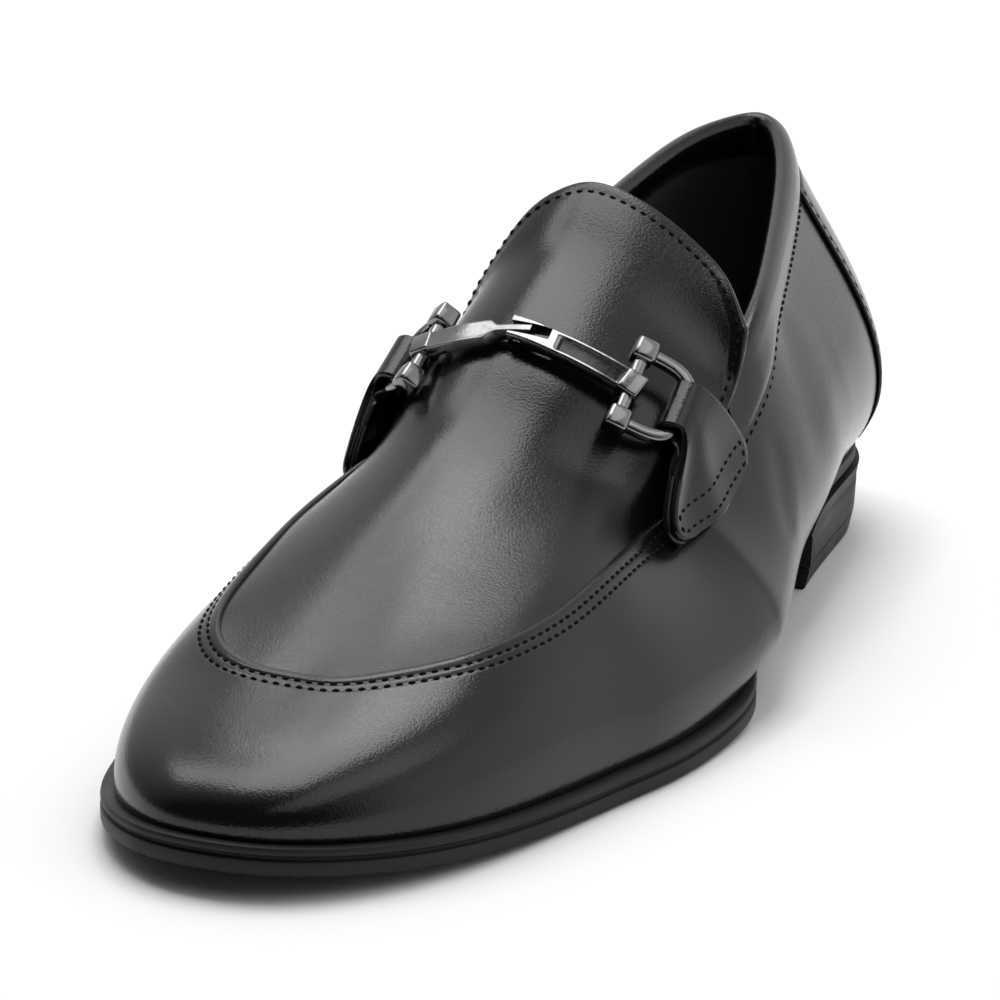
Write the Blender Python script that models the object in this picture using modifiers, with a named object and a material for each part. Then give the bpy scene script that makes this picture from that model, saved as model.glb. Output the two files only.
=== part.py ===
"""Left slip-on loafer with a snaffle bit: toe toward -Y, lateral side toward +X, standing on +Z up floor."""
import math
from collections import namedtuple

import bpy
import numpy as np
from mathutils import Matrix

MM = 0.001
NAME = "slip_on_shoe"

# Main sizes in millimetres, d is measured back from the toe tip
CENTRE_X = -0.45
CENTRE_D = 151.61
SHIFT_X = -4.9
LENGTH_REF = 300.0
FEATHER_TIP = 3.0
BALL_LAT = 49.3
BALL_MED = 49.1
BALL_D_LAT = 115.5
BALL_D_MED = 107.8
TOE_POWER = 2.2
WAIST_LAT = 35.0
WAIST_MED = 30.5
WAIST_D = 195.0
HEEL_HALF = 29.8
HEEL_D = 262.0
HEEL_BACK = 37.0
HEEL_POWER = 2.05
HEEL_TURN = 3.8
TURN_D = 150.0
TURN_FROM = 60.0
TOE_SWING = -4.2
SWING_D = 120.0
TOE_SPRING = 5.8
SPRING_D = 85.0
RISE_D = 112.0
HEEL_D_FULL = 238.0
HEEL_RISE = 17.0
SOLE = 6.2
WELT_TOE = 3.0
WELT_HEEL = -0.8
WELT_FROM = 130.0
WELT_RUN = 45.0
BREAST_D = 228.0
SEAT_MARGIN = 0.2
INSOLE = 2.5
INSOLE_INSET = 3.2
WALL = 1.8
PLUG = 1.6
PLUG_DROP = 1.0
PLUG_CLEAR = 0.4
COLLAR = 1.7
STRAP = 1.0
STRAP_CLEAR = 0.7
GAP = 0.3

# Upper by section: where its top edge runs and how full the wall is
# belly and rise lift the wall off the sole, reach and drop bring it into the top edge
Section = namedtuple("Section", "zone at top_x top_d top_z belly rise reach drop")
LATERAL = [
    Section("toe", -90, -7.0, 43.5, 33.0, 1.5, 11, 24, 7),
    Section("toe", -82, 1.5, 44.5, 33.3, 1.5, 11, 23, 7),
    Section("toe", -72, 12.0, 52.0, 34.3, 1.5, 12, 19, 7),
    Section("toe", -60, 22.0, 63.5, 35.6, 1.5, 13, 14, 7),
    Section("toe", -45, 27.8, 80.5, 36.8, 2.0, 14, 11, 7),
    Section("toe", -28, 30.0, 97.0, 38.2, 2.0, 15, 10, 7),
    Section("toe", -8, 30.6, 115.0, 40.3, 4.0, 16, 10, 8),
    Section("mid", 135, 30.6, 138.0, 41.9, 10.0, 16, 9, 10),
    Section("mid", 148, 32.2, 150.0, 45.3, 17.5, 13, 8, 11),
    Section("mid", 160, 30.0, 162.0, 54.0, 20.5, 12, 5, 15),
    Section("mid", 185, 30.4, 186.0, 69.5, 19.5, 13, 3, 20),
    Section("mid", 210, 26.3, 210.0, 76.5, 17.5, 15, 4, 20),
    Section("mid", 236, 18.4, 236.0, 81.3, 17.0, 17, 6, 19),
    Section("heel", 0, 9.6, 262.0, 86.5, 15.6, 20, 8, 19),
    Section("heel", 28, 3.0, 277.6, 90.0, 13.1, 23, 7, 19),
    Section("heel", 58, -2.0, 286.0, 91.6, 11.1, 25, 5, 20),
    Section("heel", 90, -6.6, 289.0, 92.4, 9.0, 25, 4, 22),
]
MEDIAL = [
    Section("toe", -82, -16.5, 43.7, 33.3, 1.5, 11, 22, 7),
    Section("toe", -72, -26.5, 48.0, 34.3, 1.5, 12, 16, 7),
    Section("toe", -60, -34.0, 59.0, 36.8, 1.5, 13, 11, 7),
    Section("toe", -45, -37.3, 76.0, 39.6, 2.0, 14, 8, 7),
    Section("toe", -28, -38.5, 94.0, 42.2, 2.0, 15, 7, 8),
    Section("toe", -8, -38.5, 113.0, 45.0, 2.5, 16, 6, 9),
    Section("mid", 135, -35.5, 137.0, 49.0, 4.0, 16, 5, 11),
    Section("mid", 148, -35.2, 150.0, 49.8, 5.0, 16, 4, 12),
    Section("mid", 160, -30.5, 162.0, 58.5, 6.0, 16, 3, 16),
    Section("mid", 185, -27.0, 186.0, 72.0, 8.0, 18, 2, 20),
    Section("mid", 210, -26.5, 210.0, 78.0, 9.0, 20, 2, 22),
    Section("mid", 236, -24.5, 236.0, 83.0, 10.5, 23, 4, 20),
    Section("heel", 0, -20.8, 262.0, 88.5, 11.6, 25, 5, 18),
    Section("heel", 28, -16.4, 276.5, 91.3, 11.6, 26, 6, 18),
    Section("heel", 58, -11.2, 286.5, 92.3, 10.6, 26, 5, 19),
]

# Tongue: both side edges behind the seam, then the free top edge
Edge = namedtuple("Edge", "x d z")
TONGUE_LAT = [Edge(33.2, 152, 49.8), Edge(33.8, 162, 54.2), Edge(33.5, 171, 60.0), Edge(33.8, 176, 67.5)]
TONGUE_MED = [Edge(-35.0, 150, 54.0), Edge(-33.6, 162, 60.5), Edge(-32.0, 171, 66.5), Edge(-31.0, 175.5, 72.0)]
TONGUE_TOP = [
    Edge(33.0, 180.0, 74.7), Edge(26.3, 187.0, 82.8), Edge(20.0, 190.0, 87.6), Edge(11.6, 191.7, 92.8),
    Edge(3.3, 192.3, 97.0), Edge(-7.6, 192.3, 99.8), Edge(-15.0, 191.3, 97.8), Edge(-22.0, 189.0, 92.5),
    Edge(-29.5, 180.0, 78.0),
]
# Extra height of the apron's ridge along the foot
Crown = namedtuple("Crown", "share height")
CROWN_POWER = 2.2
CROWN = [Crown(0.0, 0.0), Crown(0.15, 0.9), Crown(0.35, 2.0), Crown(0.7, 7.4), Crown(1.0, 0.0)]

# Side of the sole from the ground up: share of the thickness and how far the edge stands out
Step = namedtuple("Step", "share out")
SOLE_EDGE = [Step(0.0, -2.0), Step(0.06, -0.5), Step(0.16, 0.0), Step(0.56, 0.0), Step(0.62, -0.9),
             Step(0.72, -0.9), Step(0.78, -0.2), Step(0.92, -0.1), Step(1.0, -0.7)]
# Heel stack and its top lift: height above the floor and margin to the feather line
Layer = namedtuple("Layer", "z out")
STACK = [Layer(5.3, -0.8), Layer(12.8, -0.4), Layer(13.1, -0.7), Layer(13.5, -0.7), Layer(13.8, -0.4)]
LIFT = [Layer(0.0, -2.6), Layer(0.8, -1.8), Layer(5.0, -0.9)]
# Collar band: its depth below the top edge at a distance from the toe
Band = namedtuple("Band", "d depth")
BAND = [Band(170, 12.0), Band(181, 13.7), Band(195, 13.2), Band(206, 9.6), Band(222, 7.8), Band(300, 7.6)]

# Bit: each ring's crossbar ends, and the pin in the middle
Bar = namedtuple("Bar", "rear front")
RING_LAT = Bar(Edge(19.7, 156.3, 74.0), Edge(19.7, 141.6, 63.0))
RING_MED = Bar(Edge(-27.4, 156.2, 75.5), Edge(-28.6, 141.0, 66.0))
PIN_AT = Edge(-6.1, 149.4, 77.1)
FOLD_LAT = Edge(30.0, 152.4, 62.4)
FOLD_MED = Edge(-36.0, 153.9, 65.0)
RING_WIRE = 1.5
RING_POWER = 4.0
BLOCK = 5.5
BLOCK_SIDE = 5.2
BAR_WIDE = 5.6
BAR_THICK = 2.9
BAR_BOW = Edge(0.0, -1.0, 2.6)
BAR_CHAMFER = 0.22
EYE_THICK = 4.8
EYE_REACH = 2.7
BORE_LONG = 14.0
FORK = 3.1
FORK_LONG = 7.0
BLADE = 2.2
FORK_DEEP = 9.0
PIN_R = 0.9
PIN_OVER = 0.6
TAB = 1.4
TAB_FOLD = 5.7
TAB_SLACK = 0.8
TAB_TUCK = 6.0
TAB_REACH = 7.0
TAB_FLARE = 0.8
# Tab's sewn edge on the upper from its front corner to its rear corner
Foot = namedtuple("Foot", "d z")
FOOT_LAT = [Foot(135, 38.5), Foot(141, 37.6), Foot(150, 39.4), Foot(160, 43.0), Foot(168, 46.4)]
FOOT_MED = [Foot(135, 42.5), Foot(141, 41.6), Foot(150, 43.4), Foot(160, 47.0), Foot(168, 50.4)]

CORNER = 4
SEAM_LAT = 7.4
SEAM_MED = 6.9
COLLAR_FROM = 9.8
STRAP_FROM = 13.3
STRAP_TAPER = 0.1
BACK = len(LATERAL) - 1
COUNT = len(LATERAL) + len(MEDIAL)


def smooth(t):
    t = np.clip(t, 0.0, 1.0)
    return t * t * (3.0 - 2.0 * t)


def superellipse(angle, across, along, power):
    """Radius of a rounded end at an angle from its cross axis."""
    return ((np.cos(angle) / across) ** power + (abs(np.sin(angle)) / along) ** power) ** (-1.0 / power)


def centre_x(d):
    """Curved middle line of the shoe."""
    turn = math.tan(math.radians(HEEL_TURN))
    swing = TOE_SWING * max(1.0 - d / SWING_D, 0.0) ** 2
    back = LENGTH_REF - d if d > TURN_D else TURN_D * smooth((d - TURN_FROM) / (TURN_D - TURN_FROM))
    return SHIFT_X + swing + turn * back


def half_width(d, ball_d, ball, waist):
    """Half width between the ball and the heel."""
    middle = 0.5 * (ball_d + WAIST_D)
    rows = [(ball_d, ball), (middle, 0.5 * (ball + waist)), (WAIST_D, waist), (HEEL_D, HEEL_HALF)]
    slopes = [0.0, (waist - ball) / (WAIST_D - ball_d), 0.0, 0.0]
    for i in range(len(rows) - 1):
        if d <= rows[i + 1][0]:
            break
    span = rows[i + 1][0] - rows[i][0]
    t = (d - rows[i][0]) / span
    return ((1 + 2 * t) * (1 - t) ** 2 * rows[i][1] + t * (1 - t) ** 2 * span * slopes[i]
            + t * t * (3 - 2 * t) * rows[i + 1][1] + t * t * (t - 1) * span * slopes[i + 1])


def feather_point(side, zone, at):
    """Plan point where the upper meets the sole."""
    ball, ball_d, waist = (BALL_LAT, BALL_D_LAT, WAIST_LAT) if side > 0 else (BALL_MED, BALL_D_MED, WAIST_MED)
    angle = math.radians(at)
    if zone == "toe":
        r = superellipse(angle, ball, ball_d - FEATHER_TIP, TOE_POWER)
        x, d = r * math.cos(angle), ball_d + r * math.sin(angle)
    elif zone == "heel":
        r = superellipse(angle, HEEL_HALF, HEEL_BACK, HEEL_POWER)
        x, d = r * math.cos(angle), HEEL_D + r * math.sin(angle)
    else:
        x, d = half_width(at, ball_d, ball, waist), at
    return side * x + centre_x(d), d


def ring_table():
    """All section values around the shoe, lateral side first, then back along the medial side."""
    rows = [(1, s) for s in LATERAL] + [(-1, s) for s in reversed(MEDIAL)]
    return np.array([feather_point(side, s.zone, s.at) + s[2:] for side, s in rows])


def ring_slopes(values):
    """Slopes of the smooth closed curve through the section values."""
    n = len(values)
    matrix = 4.0 * np.eye(n) + np.roll(np.eye(n), 1, axis=1) + np.roll(np.eye(n), -1, axis=1)
    return np.linalg.solve(matrix, 3.0 * (np.roll(values, -1, axis=0) - np.roll(values, 1, axis=0)))


RING = ring_table()
SLOPE = ring_slopes(RING)


def ring_at(u):
    """Section values at loop position u, and their rate along the loop."""
    u = np.mod(np.asarray(u, float), COUNT)
    i = np.floor(u).astype(int) % COUNT
    j = (i + 1) % COUNT
    t = (u - np.floor(u))[..., None]
    a, b, p, q = RING[i], RING[j], SLOPE[i], SLOPE[j]
    value = (1 + 2 * t) * (1 - t) ** 2 * a + t * (1 - t) ** 2 * p + t * t * (3 - 2 * t) * b + t * t * (t - 1) * q
    rate = 6 * t * (t - 1) * (a - b) + (1 - t) * (1 - 3 * t) * p + t * (3 * t - 2) * q
    return value, rate


def open_spline(points, count):
    """Smooth open curve through points, evenly spaced along it."""
    pts = np.asarray(points, float)
    knots = np.concatenate([[0.0], np.cumsum(np.linalg.norm(np.diff(pts, axis=0), axis=1) ** 0.5)])
    n = len(pts)
    h = np.diff(knots)
    m = np.eye(n)
    rhs = np.zeros_like(pts)
    for i in range(1, n - 1):
        m[i, i - 1], m[i, i], m[i, i + 1] = h[i - 1], 2 * (h[i - 1] + h[i]), h[i]
        rhs[i] = 6 * ((pts[i + 1] - pts[i]) / h[i] - (pts[i] - pts[i - 1]) / h[i - 1])
    bend = np.linalg.solve(m, rhs)

    def at(k):
        i = np.clip(np.searchsorted(knots, k) - 1, 0, n - 2)
        a = ((knots[i + 1] - k) / h[i])[:, None]
        b = 1.0 - a
        hh = (h[i] ** 2)[:, None]
        return (a * pts[i] + b * pts[i + 1]
                + ((a ** 3 - a) * bend[i] + (b ** 3 - b) * bend[i + 1]) * hh / 6.0)

    fine = at(np.linspace(0, knots[-1], 400))
    run = np.concatenate([[0.0], np.cumsum(np.linalg.norm(np.diff(fine, axis=0), axis=1))])
    want = np.linspace(0, run[-1], count)
    return np.column_stack([np.interp(want, run, fine[:, k]) for k in range(fine.shape[1])])


def underside(d):
    """Height of the sole's underside: toe spring, flat ball, arch and heel seat."""
    spring = TOE_SPRING * np.clip((SPRING_D - d) / SPRING_D, 0.0, None) ** 2
    t = np.clip((d - RISE_D) / (HEEL_D_FULL - RISE_D), 0.0, 1.0)
    return spring + HEEL_RISE * 0.5 * (smooth(t) + t * t)


def outward(rate):
    """Plan direction away from the foot, square to the feather line."""
    n = np.stack([rate[..., 1], -rate[..., 0]], axis=-1)
    return n / np.linalg.norm(n, axis=-1, keepdims=True)


def outline(u, margin):
    """Feather line at loop position u, moved outward by a margin."""
    value, rate = ring_at(u)
    return value[..., :2] + outward(rate) * np.asarray(margin)[..., None]


def welt_margin(d):
    return WELT_TOE + (WELT_HEEL - WELT_TOE) * smooth((d - WELT_FROM) / WELT_RUN)


def wall(u, v):
    """Outer face of the upper: u around the shoe, v from the feather line to the top edge."""
    u, v = np.broadcast_arrays(np.asarray(u, float), np.asarray(v, float))
    value, rate = ring_at(u)
    n = outward(rate)
    foot = np.concatenate([value[..., :2], (underside(value[..., 1]) + SOLE + GAP)[..., None]], axis=-1)
    top = value[..., 2:5]
    belly, rise, reach, drop = (value[..., k] for k in range(5, 9))
    low = foot + np.concatenate([n * belly[..., None], rise[..., None]], axis=-1)
    high = top + np.concatenate([n * reach[..., None], -drop[..., None]], axis=-1)
    v = v[..., None]
    return foot * (1 - v) ** 3 + 3 * low * v * (1 - v) ** 2 + 3 * high * v * v * (1 - v) + top * v ** 3


def wall_normal(u, v, step=0.01):
    du = wall(u + step, v) - wall(u - step, v)
    v0 = np.clip(np.asarray(v) - step, 0, 1)
    v1 = np.clip(np.asarray(v) + step, 0, 1)
    dv = wall(u, v1) - wall(u, v0)
    n = np.cross(du, dv)
    return n / np.linalg.norm(n, axis=-1, keepdims=True)


def level(u, z):
    """Share v at which the wall reaches height z."""
    vs = np.linspace(0, 1, 81)
    out = []
    for uu, zz in zip(np.ravel(u), np.ravel(z)):
        out.append(np.interp(zz, wall(np.full_like(vs, uu), vs)[:, 2], vs))
    return np.array(out).reshape(np.shape(u))


def seam(u):
    """Edge of the apron just inside the folded rim, a little below its face."""
    end = wall(u, np.ones_like(u)) - wall(u, np.full_like(u, 0.96))
    end = end / np.linalg.norm(end, axis=-1, keepdims=True)
    normal = wall_normal(u, np.full_like(u, 0.98))
    return wall(u, np.ones_like(u)) + end * PLUG_CLEAR - normal * PLUG_DROP


def plug(rows, cols):
    """Apron and tongue as one curved sheet: rows run back from the seam's front, cols from lateral to medial."""
    t = np.linspace(0, 1, cols)
    s = np.linspace(0, 1, rows)
    front = seam(np.mod(CORNER - 2 * CORNER * t, COUNT))
    top = open_spline(TONGUE_TOP, cols)
    lat_rim = np.linspace(CORNER, SEAM_LAT, 5)
    med_rim = COUNT - np.linspace(CORNER, SEAM_MED, 4)
    lat = open_spline(np.vstack([seam(lat_rim), TONGUE_LAT, TONGUE_TOP[:1]]), rows)
    med = open_spline(np.vstack([seam(med_rim), TONGUE_MED, TONGUE_TOP[-1:]]), rows)
    ss, tt = s[:, None, None], t[None, :, None]
    grid = ((1 - ss) * front[None] + ss * top[None] + (1 - tt) * lat[:, None] + tt * med[:, None]
            - (1 - ss) * (1 - tt) * front[0] - (1 - ss) * tt * front[-1]
            - ss * (1 - tt) * top[0] - ss * tt * top[-1])
    crown = open_spline(CROWN, 200)
    lift = np.interp(s, crown[:, 0], crown[:, 1])
    grid[..., 2] += lift[:, None] * (1 - np.abs(2 * t - 1) ** CROWN_POWER)[None]
    return grid


def place(points):
    """Millimetres along the foot to metres in the part's frame."""
    p = np.asarray(points, float)
    return np.stack([p[..., 0] - CENTRE_X, p[..., 1] - CENTRE_D, p[..., 2]], axis=-1) * MM


def material(name, colour, rough, metal):
    mat = bpy.data.materials.new(name)
    mat.use_nodes = True
    shader = mat.node_tree.nodes["Principled BSDF"]
    shader.inputs["Base Color"].default_value = (*colour, 1.0)
    shader.inputs["Roughness"].default_value = rough
    shader.inputs["Metallic"].default_value = metal
    return mat


LEATHER = ((0.018, 0.018, 0.02), 0.34, 0.0)
RUBBER = ((0.02, 0.02, 0.021), 0.6, 0.0)
LINING = ((0.012, 0.012, 0.013), 0.85, 0.0)
GUNMETAL = ((0.2, 0.2, 0.21), 0.22, 1.0)


def add_object(name, mesh, finish):
    obj = bpy.data.objects.new(name, mesh)
    COLLECTION.objects.link(obj)
    obj.data.materials.append(material(name + "_finish", *finish))
    obj.data.shade_smooth()
    obj.data.set_sharp_from_angle(angle=math.radians(40))
    return obj


def mesh_from(name, verts, faces):
    mesh = bpy.data.meshes.new(name)
    mesh.from_pydata([tuple(v) for v in verts], [], faces)
    mesh.update()
    return mesh


def sheet(name, grid, finish, thick, offset, closed=False):
    """Open surface through a grid of points, thickened by Solidify."""
    rows, cols = grid.shape[:2]
    faces = []
    for i in range(rows if closed else rows - 1):
        for j in range(cols - 1):
            k = (i + 1) % rows
            faces.append((i * cols + j, k * cols + j, k * cols + j + 1, i * cols + j + 1))
    obj = add_object(name, mesh_from(name, place(grid).reshape(-1, 3), faces), finish)
    solid = obj.modifiers.new("thickness", "SOLIDIFY")
    solid.thickness = thick * MM
    solid.offset = offset
    solid.use_even_offset = True
    return obj


def stacked(name, rings, finish):
    """Solid through level rings, with its caps laddered from side to side."""
    rings = [np.asarray(r, float) for r in rings]
    n = len(rings[0])
    verts = [p for ring in rings for p in ring]
    faces = []
    for a in range(len(rings) - 1):
        for i in range(n):
            j = (i + 1) % n
            faces.append((a * n + i, a * n + j, (a + 1) * n + j, (a + 1) * n + i))
    for a, turn in ((0, True), (len(rings) - 1, False)):
        for i in range(n // 2 - 1):
            quad = [a * n + i, a * n + i + 1, a * n + n - 2 - i, a * n + n - 1 - i]
            faces.append(tuple(reversed(quad)) if turn else tuple(quad))
    return add_object(name, mesh_from(name, place(verts), faces), finish)


def loop_steps(count):
    """Loop positions in equal steps that straddle the toe tip and the heel's back."""
    return (np.arange(count) + 0.5) * COUNT / count


def build_outsole():
    u = loop_steps(76)
    d = ring_at(u)[0][:, 1]
    rings = []
    for step in SOLE_EDGE:
        plan = outline(u, welt_margin(d) + step.out)
        z = underside(plan[:, 1]) + SOLE * step.share
        rings.append(np.column_stack([plan, z]))
    return stacked("outsole", rings, RUBBER)


def build_insole():
    u = loop_steps(64)
    rings = []
    plan = outline(u, np.full_like(u, -INSOLE_INSET))
    for share in (0.0, 1.0):
        z = underside(plan[:, 1]) + SOLE + 2 * GAP + INSOLE * share
        rings.append(np.column_stack([plan, z]))
    return stacked("insole", rings, LINING)


def breast_position():
    """Loop position of the heel's breast on the lateral side."""
    us = np.linspace(BACK - 6, BACK - 3, 200)
    return float(np.interp(BREAST_D, ring_at(us)[0][:, 1], us))


def build_heel():
    start = breast_position()
    u = np.linspace(start, COUNT - start, 38)
    stack = [np.column_stack([outline(u, np.full_like(u, row.out)), np.full_like(u, row.z)]) for row in STACK]
    seat = outline(u, np.full_like(u, SEAT_MARGIN))
    stack.append(np.column_stack([seat, underside(seat[:, 1]) - GAP]))
    stacked("heel", stack, RUBBER)
    lift = [np.column_stack([outline(u, np.full_like(u, row.out)), np.full_like(u, row.z)]) for row in LIFT]
    stacked("top_lift", lift, RUBBER)


def build_upper():
    u = loop_steps(84)
    v = np.linspace(0, 1, 11)
    grid = wall(u[:, None], v[None, :])
    return sheet("upper", grid, LEATHER, WALL, -1.0, closed=True)


def overlay(name, u, v, thick, finish):
    """Band cut from the upper's own surface, lying just outside it."""
    grid = wall(u, v) + wall_normal(u, v) * GAP
    return sheet(name, grid, finish, thick, 1.0)


def band_depth(d):
    rows = np.array(BAND, float)
    return np.interp(d, rows[:, 0], rows[:, 1])


def build_collar():
    u = np.linspace(COLLAR_FROM, COUNT - COLLAR_FROM, 54)
    value = ring_at(u)[0]
    low = level(u, value[:, 4] - band_depth(value[:, 3]))
    share = np.linspace(0, 1, 4)
    v = low[:, None] + (1 - low[:, None]) * share[None, :]
    return overlay("collar", np.broadcast_to(u[:, None], v.shape), v, COLLAR, LEATHER)


def build_back_strap():
    u = np.linspace(STRAP_FROM, COUNT - STRAP_FROM, 19)
    value = ring_at(u)[0]
    top = level(u, value[:, 4] - band_depth(value[:, 3]) - STRAP_CLEAR)
    share = np.linspace(0.02, 1, 9)
    v = top[:, None] * share[None, :]
    narrow = 1.0 - STRAP_TAPER * (1.0 - share)
    return overlay("back_strap", BACK + (u[:, None] - BACK) * narrow[None, :], v, STRAP, LEATHER)


def build_plug():
    return sheet("apron_tongue", plug(19, 19), LEATHER, PLUG, -1.0)


def unit(v):
    v = np.asarray(v, float)
    return v / np.linalg.norm(v)


RingFrame = namedtuple("RingFrame", "mid along out up half depth")


def ring_frame(bar, fold):
    """Middle of a ring's crossbar and its own axes: along the bar, out to the tab, and off the instep."""
    rear, front = np.array(bar.rear), np.array(bar.front)
    along = unit(rear - front)
    out = np.array(fold) - 0.5 * (rear + front)
    depth = np.linalg.norm(out - along * out.dot(along))
    out = unit(out - along * out.dot(along))
    up = np.cross(out, along)
    if up[2] < 0:
        up = -up
    return RingFrame(0.5 * (rear + front), along, out, up, 0.5 * np.linalg.norm(rear - front), depth)


def matrix_at(point, x, y, z):
    m = Matrix([[x[i], y[i], z[i], 0.0] for i in range(3)] + [[0, 0, 0, 1]])
    m.translation = place(point)
    return m


def helper(name, kind, matrix, size):
    """Hidden solid used to cut or to join."""
    if kind == "BOX":
        bpy.ops.mesh.primitive_cube_add(size=1.0)
    else:
        bpy.ops.mesh.primitive_cylinder_add(vertices=16, radius=0.5, depth=1.0)
    obj = bpy.context.object
    obj.name = name
    obj.data.transform(Matrix.Diagonal((*[s * MM for s in size], 1.0)))
    obj.matrix_world = matrix
    for owner in list(obj.users_collection):
        owner.objects.unlink(obj)
    HELPERS.objects.link(obj)
    obj.hide_render = True
    obj.display_type = "WIRE"
    return obj


def boolean(obj, other, operation):
    mod = obj.modifiers.new(other.name, "BOOLEAN")
    mod.object = other
    mod.operation = operation
    mod.solver = "EXACT"


def build_ring(name, bar, fold):
    """D ring: crossbar with square end blocks and a rounded loop out to the tab."""
    ring = ring_frame(bar, fold)
    turns = np.linspace(0, math.pi, 19)
    across = ring.half * np.sign(np.cos(turns)) * np.abs(np.cos(turns)) ** (2 / RING_POWER)
    far = ring.depth * np.sin(turns) ** (2 / RING_POWER)
    points = [ring.mid + ring.along * a + ring.out * b for a, b in zip(across, far)]
    curve = bpy.data.curves.new(name + "_wire", "CURVE")
    curve.dimensions = "3D"
    curve.bevel_depth = RING_WIRE * MM
    curve.bevel_resolution = 2
    spline = curve.splines.new("POLY")
    spline.points.add(len(points) - 1)
    for p, q in zip(spline.points, place(points)):
        p.co = (*q, 1.0)
    spline.use_cyclic_u = True
    wire = bpy.data.objects.new(name + "_wire", curve)
    HELPERS.objects.link(wire)
    graph = bpy.context.evaluated_depsgraph_get()
    mesh = bpy.data.meshes.new_from_object(wire.evaluated_get(graph))
    bpy.data.objects.remove(wire, do_unlink=True)
    obj = add_object(name, mesh, GUNMETAL)
    for end in (-1, 1):
        corner = matrix_at(ring.mid + ring.along * ring.half * end, ring.along, ring.out, ring.up)
        box = helper("%s_block_%d" % (name, end), "BOX", corner, (BLOCK, BLOCK_SIDE, BLOCK_SIDE))
        boolean(obj, box, "UNION")
    return obj


def swept(name, frames, finish):
    """Solid through chamfered rectangles: each frame is a middle, a width axis, a thickness axis and sizes."""
    verts, faces = [], []
    for mid, wide, thick, w, t in frames:
        c = BAR_CHAMFER * min(w, t)
        outline_2d = [(w / 2, t / 2 - c), (w / 2 - c, t / 2), (c - w / 2, t / 2), (-w / 2, t / 2 - c),
                      (-w / 2, c - t / 2), (c - w / 2, -t / 2), (w / 2 - c, -t / 2), (w / 2, c - t / 2)]
        verts += [mid + wide * a + thick * b for a, b in outline_2d]
    n = 8
    for k in range(len(frames) - 1):
        for i in range(n):
            j = (i + 1) % n
            faces.append((k * n + i, k * n + j, (k + 1) * n + j, (k + 1) * n + i))
    faces.append(tuple(reversed(range(n))))
    faces.append(tuple(range((len(frames) - 1) * n, len(frames) * n)))
    return add_object(name, mesh_from(name, place(verts), faces), finish)


def bar_frames(bar, fold, start, sizes, pin_axis):
    """Frames of an arched bar from the pin out to its eye on the ring's crossbar."""
    mid, along = ring_frame(bar, fold)[:2]
    pin = np.array(PIN_AT)
    end = mid + (mid - pin) / np.linalg.norm(mid - pin) * EYE_REACH
    bow = 0.5 * (pin + end) + np.array(BAR_BOW)
    frames = []
    for a, w, t in sizes:
        a = start + (1 - start) * a
        point = (1 - a) ** 2 * pin + 2 * a * (1 - a) * bow + a * a * end
        run = unit(2 * (1 - a) * (bow - pin) + 2 * a * (end - bow))
        turn = smooth((a - 0.4) / 0.4)
        side = unit((1 - turn) * pin_axis + turn * unit(along - run * along.dot(run)))
        frames.append((point, side, unit(np.cross(run, side)), w, t))
    return frames, mid, along


def build_bit():
    """Two arched bars on the rings' crossbars, forked and pinned together in the middle."""
    eye = [(0.72, BAR_WIDE, BAR_THICK), (0.8, BAR_WIDE, EYE_THICK), (1.0, BAR_WIDE, EYE_THICK)]
    fork = [(0.0, BAR_WIDE, BAR_THICK + 0.8), (0.2, BAR_WIDE, BAR_THICK + 0.4), (0.45, BAR_WIDE, BAR_THICK)]
    blade = [(0.0, BLADE, BAR_THICK + 0.4), (0.3, BLADE, BAR_THICK + 0.4),
             (0.38, BAR_WIDE, BAR_THICK), (0.55, BAR_WIDE, BAR_THICK)]
    pin = np.array(PIN_AT)
    pin_axis = ring_frame(RING_LAT, FOLD_LAT).along + ring_frame(RING_MED, FOLD_MED).along
    pin_axis = unit(pin_axis * (0.0, 1.0, 1.0))
    for name, bar, fold, start, inner in (("bar_lateral", RING_LAT, FOLD_LAT, -0.08, fork),
                                          ("bar_medial", RING_MED, FOLD_MED, -0.1, blade)):
        frames, mid, along = bar_frames(bar, fold, start, inner + eye, pin_axis)
        obj = swept(name, frames, GUNMETAL)
        bore = helper(name + "_eye", "ROUND", matrix_at(mid, *side_axes(along)),
                      (2 * (RING_WIRE + GAP), 2 * (RING_WIRE + GAP), BORE_LONG))
        boolean(obj, bore, "DIFFERENCE")
        if inner is fork:
            run = np.cross(pin_axis, frames[1][2])
            slot = helper("fork_slot", "BOX", matrix_at(pin, run, pin_axis, frames[1][2]),
                          (2 * FORK_LONG, FORK, FORK_DEEP))
            boolean(obj, slot, "DIFFERENCE")
        hole = helper(name + "_pin_hole", "ROUND", matrix_at(pin, *side_axes(pin_axis)),
                      (2 * (PIN_R + GAP), 2 * (PIN_R + GAP), BORE_LONG))
        boolean(obj, hole, "DIFFERENCE")
    bpy.ops.mesh.primitive_cylinder_add(vertices=14, radius=PIN_R * MM, depth=(BAR_WIDE + PIN_OVER) * MM)
    made = bpy.context.object
    mesh = made.data
    bpy.data.objects.remove(made, do_unlink=True)
    obj = add_object("bit_pin", mesh, GUNMETAL)
    obj.matrix_world = matrix_at(pin, *side_axes(pin_axis))


def side_axes(axis):
    """Three square axes with the given one last."""
    axis = unit(axis)
    first = unit(np.cross(axis, (1.0, 0.0, 0.1)))
    return first, np.cross(axis, first), axis


def loop_at(d, side):
    """Loop position at a distance from the toe, on the lateral or the medial side."""
    u = np.linspace(CORNER + 2, BACK - 2, 300)
    u = np.interp(d, ring_at(u)[0][:, 1], u)
    return u if side > 0 else COUNT - u


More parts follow.
